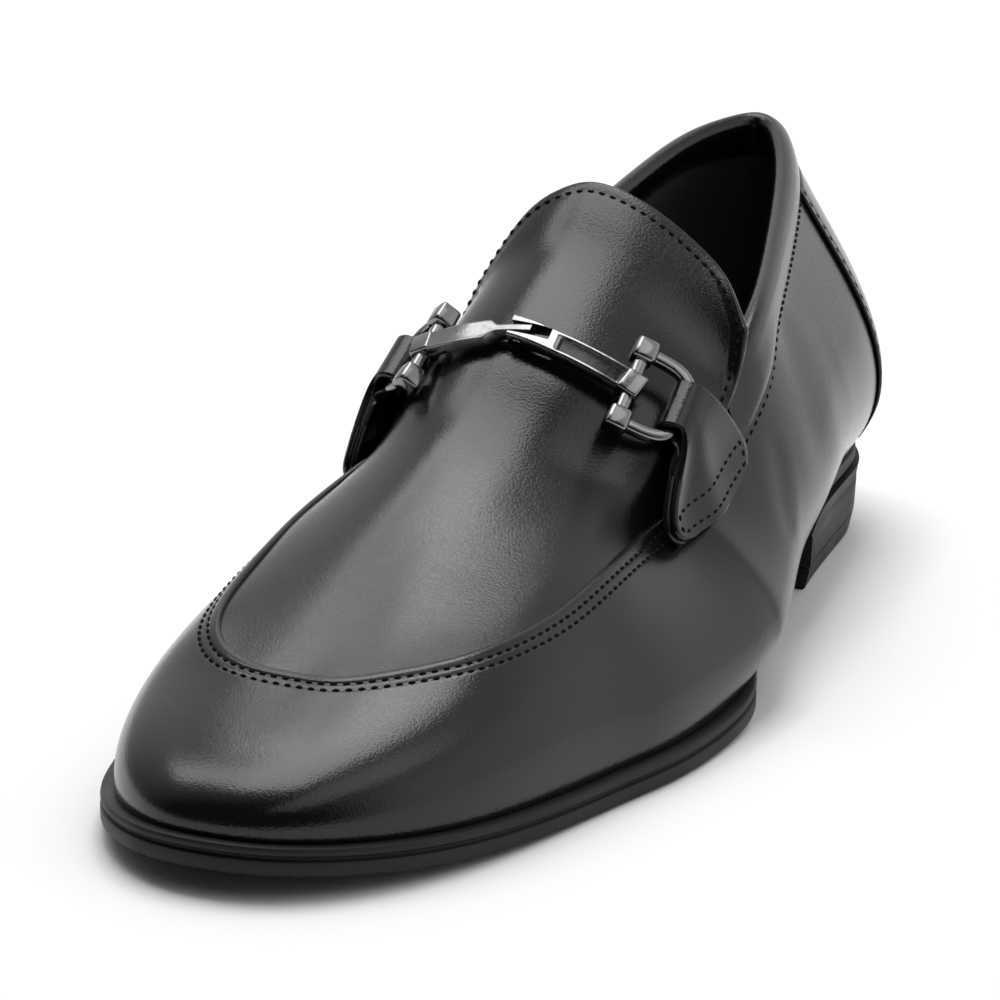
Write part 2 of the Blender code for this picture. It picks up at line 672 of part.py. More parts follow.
def build_tab(name, bar, fold, foot_rows, side):
    """Leather tab folded round the ring's loop and sewn down on the upper."""
    ring = ring_frame(bar, fold)
    along, out, up = ring.along, ring.out, ring.up
    loop = ring.mid + out * ring.depth
    across = np.linspace(-1, 1, 7)
    sewn = open_spline(foot_rows, len(across))
    u = loop_at(sewn[:, 0], side)
    v = level(u, sewn[:, 1])
    foot = wall(u, v) + wall_normal(u, v) * (0.5 * TAB + 1.5 * GAP)
    r = RING_WIRE + TAB_SLACK + 0.5 * TAB
    wrap = [(TAB_TUCK, -r), (0.5 * TAB_TUCK, -r), (0.0, -r)]
    wrap += [(-r * math.sin(a), -r * math.cos(a)) for a in np.radians((36, 72, 108, 144))]
    rows = [[loop + along * TAB_FOLD * c + out * a + up * b for c in across] for a, b in wrap]
    top = np.array([loop + along * TAB_FOLD * c + up * r for c in across])
    bow = top + out * TAB_REACH + along * TAB_FOLD * TAB_FLARE * across[:, None]
    for a in np.linspace(0, 1, 8):
        rows.append((1 - a) ** 2 * top + 2 * a * (1 - a) * bow + a * a * foot)
    return sheet(name, np.array(rows), LEATHER, TAB, 0.0)


def main():
    build_outsole()
    build_insole()
    build_heel()
    build_upper()
    build_plug()
    build_collar()
    build_back_strap()
    build_ring("ring_lateral", RING_LAT, FOLD_LAT)
    build_ring("ring_medial", RING_MED, FOLD_MED)
    build_bit()
    build_tab("tab_lateral", RING_LAT, FOLD_LAT, FOOT_LAT, 1)
    build_tab("tab_medial", RING_MED, FOLD_MED, FOOT_MED, -1)


for old in list(bpy.data.objects):
    bpy.data.objects.remove(old, do_unlink=True)
COLLECTION = bpy.data.collections.new(NAME)
bpy.context.scene.collection.children.link(COLLECTION)
HELPERS = bpy.data.collections.new(NAME + "_helpers")
bpy.context.scene.collection.children.link(HELPERS)
main()
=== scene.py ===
"""Looks of the left slip-on loafer: leather, stitching, padded collar, bit, sole, studio and camera."""
import math
from collections import namedtuple

import bmesh
import bpy
import numpy as np
from mathutils import Matrix, Vector


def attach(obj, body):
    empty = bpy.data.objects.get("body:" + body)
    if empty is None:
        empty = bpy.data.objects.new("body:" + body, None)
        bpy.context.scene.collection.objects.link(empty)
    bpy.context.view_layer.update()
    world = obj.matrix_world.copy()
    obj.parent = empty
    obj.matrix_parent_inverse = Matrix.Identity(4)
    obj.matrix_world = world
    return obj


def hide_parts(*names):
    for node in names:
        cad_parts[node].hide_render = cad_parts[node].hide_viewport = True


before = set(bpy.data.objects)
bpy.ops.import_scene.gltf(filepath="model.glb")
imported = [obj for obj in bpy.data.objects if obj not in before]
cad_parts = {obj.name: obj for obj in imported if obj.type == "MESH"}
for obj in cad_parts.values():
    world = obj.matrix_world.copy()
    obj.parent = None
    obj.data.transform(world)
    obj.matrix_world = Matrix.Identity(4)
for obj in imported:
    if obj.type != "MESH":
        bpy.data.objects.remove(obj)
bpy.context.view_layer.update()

MM = 0.001
BODY = "root"

# A smooth change over a run, and a soft bell
Change = namedtuple("Change", "start run before after")
Bell = namedtuple("Bell", "height at width")


def table(kind, rows):
    """Rows with named columns."""
    return [kind(*row) for row in rows]


# Main sizes in millimetres, d is measured back from the toe tip
CENTRE_X = -0.45
CENTRE_D = 151.61
SHIFT_X = -4.9
LENGTH_REF = 300.0
FEATHER_TIP = 3.0
BALL_LAT = 49.3
BALL_MED = 49.1
BALL_D_LAT = 115.5
BALL_D_MED = 107.8
TOE_POWER = 2.2
WAIST_LAT = 35.0
WAIST_MED = 30.5
WAIST_D = 195.0
HEEL_HALF = 29.8
HEEL_D = 262.0
HEEL_BACK = 37.0
HEEL_POWER = 2.05
HEEL_TURN = 3.8
TURN_D = 150.0
TURN_FROM = 60.0
TOE_SWING = -4.2
SWING_D = 120.0
TOE_SPRING = 5.8
SPRING_D = 85.0
RISE_D = 112.0
HEEL_D_FULL = 238.0
HEEL_RISE = 17.0
SOLE = 6.2
WELT = Change(130.0, 45.0, 3.0, -0.8)
BREAST_D = 228.0
SEAT_MARGIN = 0.2
INSOLE = 2.5
WALL = 1.8
PLUG = 1.6
PLUG_DROP = 1.0
PLUG_CLEAR = 0.4
GAP = 0.3

# Upper by section: where its top edge runs and how full the wall is
# belly and rise lift the wall off the sole, reach and drop bring it into the top edge
Section = namedtuple("Section", "zone at top_x top_d top_z belly rise reach drop")
LATERAL = table(Section, [
    ("toe", -90, -7.0, 43.5, 33.0, 1.5, 11, 24, 7),
    ("toe", -82, 1.5, 44.5, 33.3, 1.5, 11, 23, 7),
    ("toe", -72, 12.0, 52.0, 34.3, 1.5, 12, 19, 7),
    ("toe", -60, 22.0, 63.5, 35.6, 1.5, 13, 14, 7),
    ("toe", -45, 27.8, 80.5, 36.8, 2.0, 14, 11, 7),
    ("toe", -28, 30.0, 97.0, 38.2, 2.0, 15, 10, 7),
    ("toe", -8, 30.6, 115.0, 40.3, 4.0, 16, 10, 8),
    ("mid", 135, 30.6, 138.0, 41.9, 10.0, 16, 9, 10),
    ("mid", 148, 32.2, 150.0, 45.3, 17.5, 13, 8, 11),
    ("mid", 160, 30.0, 162.0, 54.0, 20.5, 12, 5, 15),
    ("mid", 185, 30.4, 186.0, 69.5, 19.5, 13, 3, 20),
    ("mid", 210, 26.3, 210.0, 76.5, 17.5, 15, 4, 20),
    ("mid", 236, 18.4, 236.0, 81.3, 17.0, 17, 6, 19),
    ("heel", 0, 9.6, 262.0, 86.5, 15.6, 20, 8, 19),
    ("heel", 28, 3.0, 277.6, 90.0, 13.1, 23, 7, 19),
    ("heel", 58, -2.0, 286.0, 91.6, 11.1, 25, 5, 20),
    ("heel", 90, -6.6, 289.0, 92.4, 9.0, 25, 4, 22),
])
MEDIAL = table(Section, [
    ("toe", -82, -16.5, 43.7, 33.3, 1.5, 11, 22, 7),
    ("toe", -72, -26.5, 48.0, 34.3, 1.5, 12, 16, 7),
    ("toe", -60, -34.0, 59.0, 36.8, 1.5, 13, 11, 7),
    ("toe", -45, -37.3, 76.0, 39.6, 2.0, 14, 8, 7),
    ("toe", -28, -38.5, 94.0, 42.2, 2.0, 15, 7, 8),
    ("toe", -8, -38.5, 113.0, 45.0, 2.5, 16, 6, 9),
    ("mid", 135, -35.5, 137.0, 49.0, 4.0, 16, 5, 11),
    ("mid", 148, -35.2, 150.0, 49.8, 5.0, 16, 4, 12),
    ("mid", 160, -30.5, 162.0, 58.5, 6.0, 16, 3, 16),
    ("mid", 185, -27.0, 186.0, 72.0, 8.0, 18, 2, 20),
    ("mid", 210, -26.5, 210.0, 78.0, 9.0, 20, 2, 22),
    ("mid", 236, -24.5, 236.0, 83.0, 10.5, 23, 4, 20),
    ("heel", 0, -20.8, 262.0, 88.5, 11.6, 25, 5, 18),
    ("heel", 28, -16.4, 276.5, 91.3, 11.6, 26, 6, 18),
    ("heel", 58, -11.2, 286.5, 92.3, 10.6, 26, 5, 19),
])

# Tongue: both side edges behind the seam, then the free top edge
Edge = namedtuple("Edge", "x d z")
TONGUE_LAT = table(Edge, [(33.2, 152, 49.8), (33.8, 162, 54.2), (33.5, 171, 60.0), (33.8, 176, 67.5)])
TONGUE_MED = table(Edge, [(-35.0, 150, 54.0), (-33.6, 162, 60.5), (-32.0, 171, 66.5), (-31.0, 175.5, 72.0)])
TONGUE_TOP = table(Edge, [
    (33.0, 180.0, 74.7), (26.3, 187.0, 82.8), (20.0, 190.0, 87.6), (11.6, 191.7, 92.8), (3.3, 192.3, 97.0),
    (-7.6, 192.3, 99.8), (-15.0, 191.3, 97.8), (-22.0, 189.0, 92.5), (-29.5, 180.0, 78.0),
])
# Extra height of the apron's ridge along the foot
Crown = namedtuple("Crown", "share height")
CROWN_POWER = 2.2
CROWN = table(Crown, [(0.0, 0.0), (0.15, 0.9), (0.35, 2.0), (0.7, 7.4), (1.0, 0.0)])

# Collar band: its depth below the top edge at a distance from the toe
Band = namedtuple("Band", "d depth")
BAND = table(Band, [(170, 12.0), (181, 13.7), (195, 13.2), (206, 9.6), (222, 7.8), (300, 7.6)])

# Bit: each ring's crossbar ends, where the tab folds, and the pin in the middle
Bar = namedtuple("Bar", "rear front")
RING_LAT = Bar(Edge(19.7, 156.3, 74.0), Edge(19.7, 141.6, 63.0))
RING_MED = Bar(Edge(-27.4, 156.2, 75.5), Edge(-28.6, 141.0, 66.0))
PIN_AT = Edge(-6.1, 149.4, 77.1)
FOLD_LAT = Edge(30.0, 152.4, 62.4)
FOLD_MED = Edge(-36.0, 153.9, 65.0)
RING_WIRE = 1.5
RING_POWER = 4.0
WIRE_SQUARE = 0.7
BLOCK = 5.5
BLOCK_SIDE = 5.2
BAR_WIDE = 5.6
BAR_THICK = 2.9
EYE_THICK = 4.8
FORK = 3.1
FORK_LONG = 7.0
BLADE = 2.2
PIN_R = 0.9
# Tab's sewn edge on the upper from its front corner to its rear corner
Foot = namedtuple("Foot", "d z")
FOOT_LAT = table(Foot, [(131.5, 36.3), (140, 37.6), (150, 39.6), (160, 43.0), (169, 46.6)])
FOOT_MED = table(Foot, [(131.5, 40.3), (140, 41.6), (150, 43.6), (160, 47.0), (169, 50.6)])
TAB = 1.6
TAB_FOLD = 5.7
TAB_SLACK = 0.8
TAB_REACH = 5.0
TAB_LAND = 9.0
TAB_CORNER = 6.5
TAB_BOX = (1.9, 7.0)
# The two sides of the bit and its tabs
Side = namedtuple("Side", "name sign bar fold foot")
SIDES = [Side("lateral", 1, RING_LAT, FOLD_LAT, FOOT_LAT), Side("medial", -1, RING_MED, FOLD_MED, FOOT_MED)]

# Places round the upper, counted in sections from the toe tip
CORNER = 4
SEAM_LAT = 7.4
SEAM_MED = 6.9
COLLAR_FROM = 9.55
STRAP_FROM = 13.3
BACK = len(LATERAL) - 1
COUNT = len(LATERAL) + len(MEDIAL)


# Shape of the last, the same functions as the solids follow
def smooth(t):
    t = np.clip(t, 0.0, 1.0)
    return t * t * (3.0 - 2.0 * t)


def changed(x, change):
    """Value that changes smoothly over its run."""
    return change.before + (change.after - change.before) * smooth((x - change.start) / change.run)


def window(x, low, high, run):
    """One between two places, fading in and out over a run."""
    return smooth((x - low) / run) * smooth((high - x) / run)


def relief(x, bells):
    """Sum of soft bells along a distance."""
    return sum(bell.height * np.exp(-((x - bell.at) / bell.width) ** 2) for bell in bells)


def unit(v):
    v = np.asarray(v, float)
    return v / np.linalg.norm(v, axis=-1, keepdims=True)


def superellipse(angle, across, along, power):
    """Radius of a rounded end at an angle from its cross axis."""
    return ((np.cos(angle) / across) ** power + (abs(np.sin(angle)) / along) ** power) ** (-1.0 / power)


def hermite(t, a, b, p, q):
    """Cubic from a to b with the slopes p and q at its ends."""
    start = (1 + 2 * t) * (1 - t) ** 2 * a + t * (1 - t) ** 2 * p
    return start + t * t * (3 - 2 * t) * b + t * t * (t - 1) * q


def bezier(t, a, b, c, d):
    """Cubic from a to d, drawn towards b and c."""
    return a * (1 - t) ** 3 + 3 * b * t * (1 - t) ** 2 + 3 * c * t * t * (1 - t) + d * t ** 3


def centre_x(d):
    """Curved middle line of the shoe."""
    turn = math.tan(math.radians(HEEL_TURN))
    swing = TOE_SWING * max(1.0 - d / SWING_D, 0.0) ** 2
    back = LENGTH_REF - d if d > TURN_D else TURN_D * smooth((d - TURN_FROM) / (TURN_D - TURN_FROM))
    return SHIFT_X + swing + turn * back


def half_width(d, ball_d, ball, waist):
    """Half width between the ball and the heel."""
    middle = 0.5 * (ball_d + WAIST_D)
    rows = [(ball_d, ball), (middle, 0.5 * (ball + waist)), (WAIST_D, waist), (HEEL_D, HEEL_HALF)]
    slopes = [0.0, (waist - ball) / (WAIST_D - ball_d), 0.0, 0.0]
    for i in range(len(rows) - 1):
        if d <= rows[i + 1][0]:
            break
    span = rows[i + 1][0] - rows[i][0]
    t = (d - rows[i][0]) / span
    return hermite(t, rows[i][1], rows[i + 1][1], span * slopes[i], span * slopes[i + 1])


def feather_point(side, zone, at):
    """Plan point where the upper meets the sole."""
    ball, ball_d, waist = (BALL_LAT, BALL_D_LAT, WAIST_LAT) if side > 0 else (BALL_MED, BALL_D_MED, WAIST_MED)
    angle = math.radians(at)
    if zone == "toe":
        r = superellipse(angle, ball, ball_d - FEATHER_TIP, TOE_POWER)
        x, d = r * math.cos(angle), ball_d + r * math.sin(angle)
    elif zone == "heel":
        r = superellipse(angle, HEEL_HALF, HEEL_BACK, HEEL_POWER)
        x, d = r * math.cos(angle), HEEL_D + r * math.sin(angle)
    else:
        x, d = half_width(at, ball_d, ball, waist), at
    return side * x + centre_x(d), d


def ring_table():
    """All section values around the shoe, lateral side first, then back along the medial side."""
    rows = [(1, s) for s in LATERAL] + [(-1, s) for s in reversed(MEDIAL)]
    return np.array([feather_point(side, s.zone, s.at) + s[2:] for side, s in rows])


def ring_slopes(values):
    """Slopes of the smooth closed curve through the section values."""
    n = len(values)
    matrix = 4.0 * np.eye(n) + np.roll(np.eye(n), 1, axis=1) + np.roll(np.eye(n), -1, axis=1)
    return np.linalg.solve(matrix, 3.0 * (np.roll(values, -1, axis=0) - np.roll(values, 1, axis=0)))


RING = ring_table()
SLOPE = ring_slopes(RING)


def ring_at(u):
    """Section values at loop position u, and their rate along the loop."""
    u = np.mod(np.asarray(u, float), COUNT)
    i = np.floor(u).astype(int) % COUNT
    j = (i + 1) % COUNT
    t = (u - np.floor(u))[..., None]
    a, b, p, q = RING[i], RING[j], SLOPE[i], SLOPE[j]
    rate = 6 * t * (t - 1) * (a - b) + (1 - t) * (1 - 3 * t) * p + t * (3 * t - 2) * q
    return hermite(t, a, b, p, q), rate


def run_along(points, power=1.0):
    """Sum of the steps up to each point of a polyline."""
    return np.concatenate([[0.0], np.cumsum(np.linalg.norm(np.diff(points, axis=0), axis=1) ** power)])


def points_at(want, run, points):
    """Points at the wanted distances along a polyline."""
    return np.column_stack([np.interp(want, run, points[:, k]) for k in range(points.shape[1])])


def resample(points, count, inset=0.0):
    """Points evenly spaced along a polyline, between insets from its ends."""
    run = run_along(points)
    return points_at(np.linspace(inset, run[-1] - inset, count), run, points)


def open_spline(points, count, steps=1200):
    """Smooth open curve through points, evenly spaced along it."""
    pts = np.asarray(points, float)
    knots = run_along(pts, power=0.5)
    n = len(pts)
    h = np.diff(knots)
    m = np.eye(n)
    rhs = np.zeros_like(pts)
    for i in range(1, n - 1):
        m[i, i - 1], m[i, i], m[i, i + 1] = h[i - 1], 2 * (h[i - 1] + h[i]), h[i]
        rhs[i] = 6 * ((pts[i + 1] - pts[i]) / h[i] - (pts[i] - pts[i - 1]) / h[i - 1])
    bend = np.linalg.solve(m, rhs)
    k = np.linspace(0, knots[-1], steps)
    i = np.clip(np.searchsorted(knots, k) - 1, 0, n - 2)
    a = ((knots[i + 1] - k) / h[i])[:, None]
    b = 1.0 - a
    hh = (h[i] ** 2)[:, None]
    fine = a * pts[i] + b * pts[i + 1] + ((a ** 3 - a) * bend[i] + (b ** 3 - b) * bend[i + 1]) * hh / 6.0
    return resample(fine, count)


def underside(d):
    """Height of the sole's underside: toe spring, flat ball, arch and heel seat."""
    spring = TOE_SPRING * np.clip((SPRING_D - d) / SPRING_D, 0.0, None) ** 2
    t = np.clip((d - RISE_D) / (HEEL_D_FULL - RISE_D), 0.0, 1.0)
    return spring + HEEL_RISE * 0.5 * (smooth(t) + t * t)


def outward(rate):
    """Plan direction away from the foot, square to the feather line."""
    return unit(np.stack([rate[..., 1], -rate[..., 0]], axis=-1))


def outline(u, margin):
    """Feather line at loop position u, moved outward by a margin."""
    value, rate = ring_at(u)
    return value[..., :2] + outward(rate) * np.broadcast_to(margin, np.shape(u))[..., None]


def wall(u, v):
    """Outer face of the upper: u around the shoe, v from the feather line to the top edge."""
    u, v = np.broadcast_arrays(np.asarray(u, float), np.asarray(v, float))
    value, rate = ring_at(u)
    n = outward(rate)
    foot = np.concatenate([value[..., :2], (underside(value[..., 1]) + SOLE + GAP)[..., None]], axis=-1)
    top = value[..., 2:5]
    belly, rise, reach, drop = (value[..., k] for k in range(5, 9))
    low = foot + np.concatenate([n * belly[..., None], rise[..., None]], axis=-1)
    high = top + np.concatenate([n * reach[..., None], -drop[..., None]], axis=-1)
    v = v[..., None]
    return bezier(v, foot, low, high, top)


def wall_normal(u, v, step=0.01):
    du = wall(u + step, v) - wall(u - step, v)
    dv = wall(u, np.clip(v + step, 0, 1)) - wall(u, np.clip(v - step, 0, 1))
    return unit(np.cross(du, dv))


def wall_rise(u, share=0.96):
    """Direction in which the wall runs up into its top edge."""
    return unit(wall(u, 1.0) - wall(u, share))


def share_at_depth(u, depth, steps=241):
    """Share v at distances below the top edge, measured along the wall, and the wall's whole length."""
    vs = np.linspace(0, 1, steps)
    seg = np.linalg.norm(np.diff(wall(u[:, None], vs[None, :]), axis=1), axis=-1)
    below = np.concatenate([np.cumsum(seg[:, ::-1], axis=1)[:, ::-1], np.zeros((len(u), 1))], axis=1)
    depth = np.broadcast_to(depth, (len(u),) + np.shape(depth)[-1:])
    v = np.array([np.interp(want, b[::-1], vs[::-1]) for want, b in zip(depth, below)])
    return v, below[:, 0]


def share_at_height(u, z, steps=161):
    """Share v at which the wall reaches height z."""
    vs = np.linspace(0, 1, steps)
    return np.array([np.interp(zz, wall(uu, vs)[:, 2], vs) for uu, zz in zip(u, z)])


def seam(u, share=0.98):
    """Edge of the apron just inside the folded rim, a little below its face."""
    return wall(u, 1.0) + wall_rise(u) * PLUG_CLEAR - wall_normal(u, share) * PLUG_DROP


def plug(rows, cols, crown_steps=200):
    """Apron and tongue as one curved sheet: rows run back from the seam, cols from lateral to medial."""
    t = np.linspace(0, 1, cols)
    s = np.linspace(0, 1, rows)
    front = seam(np.mod(CORNER - 2 * CORNER * t, COUNT))
    top = open_spline(TONGUE_TOP, cols)
    lat_rim = np.linspace(CORNER, SEAM_LAT, 5)
    med_rim = COUNT - np.linspace(CORNER, SEAM_MED, 4)
    lat = open_spline(np.vstack([seam(lat_rim), TONGUE_LAT, TONGUE_TOP[:1]]), rows)
    med = open_spline(np.vstack([seam(med_rim), TONGUE_MED, TONGUE_TOP[-1:]]), rows)
    ss, tt = s[:, None, None], t[None, :, None]
    grid = ((1 - ss) * front[None] + ss * top[None] + (1 - tt) * lat[:, None] + tt * med[:, None]
            - (1 - ss) * (1 - tt) * front[0] - (1 - ss) * tt * front[-1]
            - ss * (1 - tt) * top[0] - ss * tt * top[-1])
    crown = open_spline(CROWN, crown_steps)
    lift = np.interp(s, crown[:, 0], crown[:, 1])
    grid[..., 2] += lift[:, None] * (1 - np.abs(2 * t - 1) ** CROWN_POWER)[None]
    return grid


def loop_steps(count):
    """Loop positions in equal steps that straddle the toe tip and the heel's back."""
    return (np.arange(count) + 0.5) * COUNT / count


def loop_at(d, side, steps=300):
    """Loop position at a distance from the toe, on the lateral or the medial side."""
    u = np.linspace(CORNER + 2, BACK - 2, steps)
    u = np.interp(d, ring_at(u)[0][:, 1], u)
    return u if side > 0 else COUNT - u


def band_depth(d, steps=200):
    rows = open_spline(BAND, steps)
    return np.interp(d, rows[:, 0], rows[:, 1])


def place(points):
    """Millimetres along the foot to metres in the part's frame."""
    p = np.asarray(points, float)
    return np.stack([p[..., 0] - CENTRE_X, p[..., 1] - CENTRE_D, p[..., 2]], axis=-1) * MM


# Node materials, with the sockets of a colour mix
MIX_FACTOR, MIX_A, MIX_B, MIX_RESULT = 0, 6, 7, 2


def new_material(name, colour, rough, metal=0.0, specular=0.5):
    mat = bpy.data.materials.new(name)
    mat.use_nodes = True
    shader = mat.node_tree.nodes["Principled BSDF"]
    shader.inputs["Base Color"].default_value = (*colour, 1.0)
    shader.inputs["Roughness"].default_value = rough
    shader.inputs["Metallic"].default_value = metal
    shader.inputs["Specular IOR Level"].default_value = specular
    return mat, mat.node_tree, shader


def add_node(tree, kind, **values):
    node = tree.nodes.new(kind)
    for key, value in values.items():
        if key in node.inputs:
            node.inputs[key].default_value = value
        else:
            setattr(node, key, value)
    return node


def object_noise(tree, scale, detail):
    """Height socket of a noise over the piece, in its own metres."""
    coord = tree.nodes.new("ShaderNodeTexCoord")
    noise = add_node(tree, "ShaderNodeTexNoise", Scale=scale, Detail=detail)
    tree.links.new(coord.outputs["Object"], noise.inputs["Vector"])
    return noise.outputs["Fac"]


def ranged(tree, source, span, to):
    """Socket that follows a source over its span, from the first to the second of two values."""
    node = tree.nodes.new("ShaderNodeMapRange")
    for key, value in zip(("From Min", "From Max", "To Min", "To Max"), (*span, *to)):
        node.inputs[key].default_value = value
    tree.links.new(source, node.inputs["Value"])
    return node.outputs["Result"]


def bumped(tree, shader, layers):
    """Stacked bumps: each layer is a height socket and a depth in metres."""
    normal = None
    for height, depth in layers:
        node = tree.nodes.new("ShaderNodeBump")
        node.inputs["Strength"].default_value = 1.0
        node.inputs["Distance"].default_value = depth
        tree.links.new(height, node.inputs["Height"])
        if normal:
            tree.links.new(normal, node.inputs["Normal"])
        normal = node.outputs["Normal"]
    tree.links.new(normal, shader.inputs["Normal"])


Noise = namedtuple("Noise", "scale detail depth")


def noise_material(name, colour, rough, noises, span=None, to=None, metal=0.0, specular=0.5):
    """Material with bumps from noises, each of a depth in metres, and roughness that follows the last one."""
    mat, tree, shader = new_material(name, colour, rough, metal, specular)
    heights = [object_noise(tree, noise.scale, noise.detail) for noise in noises]
    if span:
        tree.links.new(ranged(tree, heights[-1], span, to), shader.inputs["Roughness"])
    bumped(tree, shader, [(height, noise.depth) for height, noise in zip(heights, noises) if noise.depth])
    return mat, tree, shader, heights


def leather_material():
    """Semi-gloss black leather: fine even grain, soft hollows and a slightly uneven polish."""
    noises = [Noise(45.0, 3.0, 0.0001), Noise(1900.0, 2.0, 0.000055)]
    mat, tree, shader, heights = noise_material("black_leather", (0.004, 0.004, 0.0043), 0.27, noises,
                                                (0.35, 0.65), (0.12, 0.23), specular=0.42)
    tone = tree.nodes.new("ShaderNodeMix")
    tone.data_type = "RGBA"
    tone.inputs[MIX_A].default_value = (0.003, 0.003, 0.0033, 1.0)
    tone.inputs[MIX_B].default_value = (0.0055, 0.0055, 0.0058, 1.0)
    tree.links.new(heights[0], tone.inputs[MIX_FACTOR])
    tree.links.new(tone.outputs[MIX_RESULT], shader.inputs["Base Color"])
    shader.inputs["Coat Weight"].default_value = 0.05
    shader.inputs["Coat Roughness"].default_value = 0.16
    return mat


def lining_material():
    """Matte black textile: a fine crossed weave."""
    mat, tree, shader = new_material("black_lining", (0.075, 0.075, 0.077), 0.9, specular=0.25)
    coord = tree.nodes.new("ShaderNodeTexCoord")
    weave = []
    for axis in ("X", "Y", "Z"):
        wave = add_node(tree, "ShaderNodeTexWave", bands_direction=axis, Scale=420.0, Distortion=1.5)
        tree.links.new(coord.outputs["Object"], wave.inputs["Vector"])
        weave.append((wave.outputs["Fac"], 0.00005))
    shader.inputs["Sheen Weight"].default_value = 0.1
    bumped(tree, shader, weave)
    return mat


LEATHER = leather_material()
LINING = lining_material()
# Matte rubber with a fine moulded skin, and dull sewing thread
RUBBER = noise_material("black_rubber", (0.009, 0.009, 0.0095), 0.55,
                        [Noise(1800.0, 4.0, 0.00006), Noise(60.0, 3.0, 0.0)],
                        (0.3, 0.7), (0.48, 0.62), specular=0.3)[0]
THREAD = noise_material("black_thread", (0.004, 0.004, 0.0043), 0.8, [Noise(6000.0, 2.0, 0.00004)],
                        specular=0.12)[0]
# Polished dark plating with faint casting waves and handling marks, and lacquer for the bar's sunk panel
METAL = noise_material("gunmetal", (0.23, 0.23, 0.235), 0.16,
                       [Noise(160.0, 2.0, 0.00012), Noise(700.0, 5.0, 0.00002)],
                       (0.35, 0.7), (0.10, 0.24), metal=1.0)[0]
PANEL = noise_material("dark_lacquer", (0.012, 0.012, 0.012), 0.2, [Noise(900.0, 4.0, 0.00003)],
                       (0.35, 0.7), (0.14, 0.3), metal=0.6)[0]


# Mesh building
def finish_piece(obj, node=None):
    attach(obj, BODY)
    if node:
        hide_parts(node)
    return obj


def linked(name, data):
    """New object in the scene."""
    obj = bpy.data.objects.new(name, data)
    bpy.context.scene.collection.objects.link(obj)
    return obj


def mesh_object(name, verts, faces, materials, strips=None, sharp=50.0):
    """Object from points in millimetres along the foot, with its faces turned outward."""
    mesh = bpy.data.meshes.new(name)
    mesh.from_pydata(place(verts).tolist(), [], faces)
    for mat in materials:
        mesh.materials.append(mat)
    if strips is not None:
        mesh.polygons.foreach_set("material_index", np.asarray(strips, np.int32))
    bm = bmesh.new()
    bm.from_mesh(mesh)
    bmesh.ops.recalc_face_normals(bm, faces=bm.faces)
    bm.to_mesh(mesh)
    bm.free()
    mesh.shade_smooth()
    mesh.set_sharp_from_angle(angle=math.radians(sharp))
    return linked(name, mesh)


def quads(spans, rows, cols):
    """Faces between each of a number of loops of points and the next one."""
    faces = []
    for i in range(spans):
        a, b = i * cols, (i + 1) % rows * cols
        faces += [(a + j, b + j, b + (j + 1) % cols, a + (j + 1) % cols) for j in range(cols)]
    return faces


def loft(name, sections, materials, strip_slots=None, closed=False, sharp=50.0):
    """Closed solid through loops of points, wrapped round or capped at both ends."""
    m, n = sections.shape[:2]
    faces = quads(m if closed else m - 1, m, n)
    slots = np.broadcast_to(0 if strip_slots is None else strip_slots, (m, n))
    strips = slots.reshape(-1)[:len(faces)].tolist()
    if not closed:
        faces += [tuple(range(n)), tuple(range((m - 1) * n, m * n))]
        strips += [0, 0]
    return mesh_object(name, sections.reshape(-1, 3), faces, materials, strips, sharp)


def grid_normals(grid):
    return unit(np.cross(np.gradient(grid, axis=0), np.gradient(grid, axis=1)))


def slab(name, grid, normals, above, below, materials, round_edge=0.35):
    """Closed sheet: its two faces lie above and below a grid, with a rounded edge all round."""
    rows, cols = grid.shape[:2]
    top = grid + normals * above
    low = grid + normals * below
    index = np.arange(rows * cols).reshape(rows, cols)
    rim = np.concatenate([index[0, :-1], index[:-1, -1], index[-1, :0:-1], index[:0:-1, 0]])
    inner = np.clip(np.stack(np.unravel_index(rim, (rows, cols)), axis=1), 1, (rows - 2, cols - 2))
    middle = 0.5 * (top + low)
    edge = middle.reshape(-1, 3)[rim]
    thick = np.linalg.norm(top - low, axis=-1).reshape(-1)[rim][:, None]
    edge = edge + unit(edge - middle[inner[:, 0], inner[:, 1]]) * thick * round_edge
    count = rows * cols
    faces = []
    for i in range(rows - 1):
        for j in range(cols - 1):
            quad = (i * cols + j, (i + 1) * cols + j, (i + 1) * cols + j + 1, i * cols + j + 1)
            faces.append(quad)
            faces.append(tuple(count + q for q in reversed(quad)))
    for a in range(len(rim)):
        b = (a + 1) % len(rim)
        ends = (2 * count + a, 2 * count + b)
        faces.append((rim[a], rim[b], ends[1], ends[0]))
        faces.append((ends[0], ends[1], count + rim[b], count + rim[a]))
    verts = np.concatenate([top.reshape(-1, 3), low.reshape(-1, 3), edge])
    return mesh_object(name, verts, faces, materials, sharp=70.0)


def stacked(name, rings, material, sharp=35.0):
    """Solid through level rings, with its caps laddered from side to side."""
    rings = np.asarray(rings, float)
    m, n = rings.shape[:2]
    faces = quads(m - 1, m, n)
    for a in (0, m - 1):
        for i in range(n // 2 - 1):
            faces.append((a * n + i, a * n + i + 1, a * n + n - 2 - i, a * n + n - 1 - i))
    return mesh_object(name, rings.reshape(-1, 3), faces, [material], sharp=sharp)


# Thread stitches, and the shape of each bead
Stitch = namedtuple("Stitch", "pitch long radius")
SEAM_STITCH = Stitch(2.6, 2.0, 0.36)
EDGE_STITCH = Stitch(3.0, 2.3, 0.32)
BOX_STITCH = Stitch(2.5, 1.9, 0.3)
STITCH_SINK = 0.05
STITCH_AIM = 0.3
STITCH_RINGS = (-0.72, -0.3, 0.3, 0.72)
STITCH_TAPER = 0.75
STITCH_ARCH = 0.55
STITCH_DIP = 1.4
STITCH_FLAT = 0.8


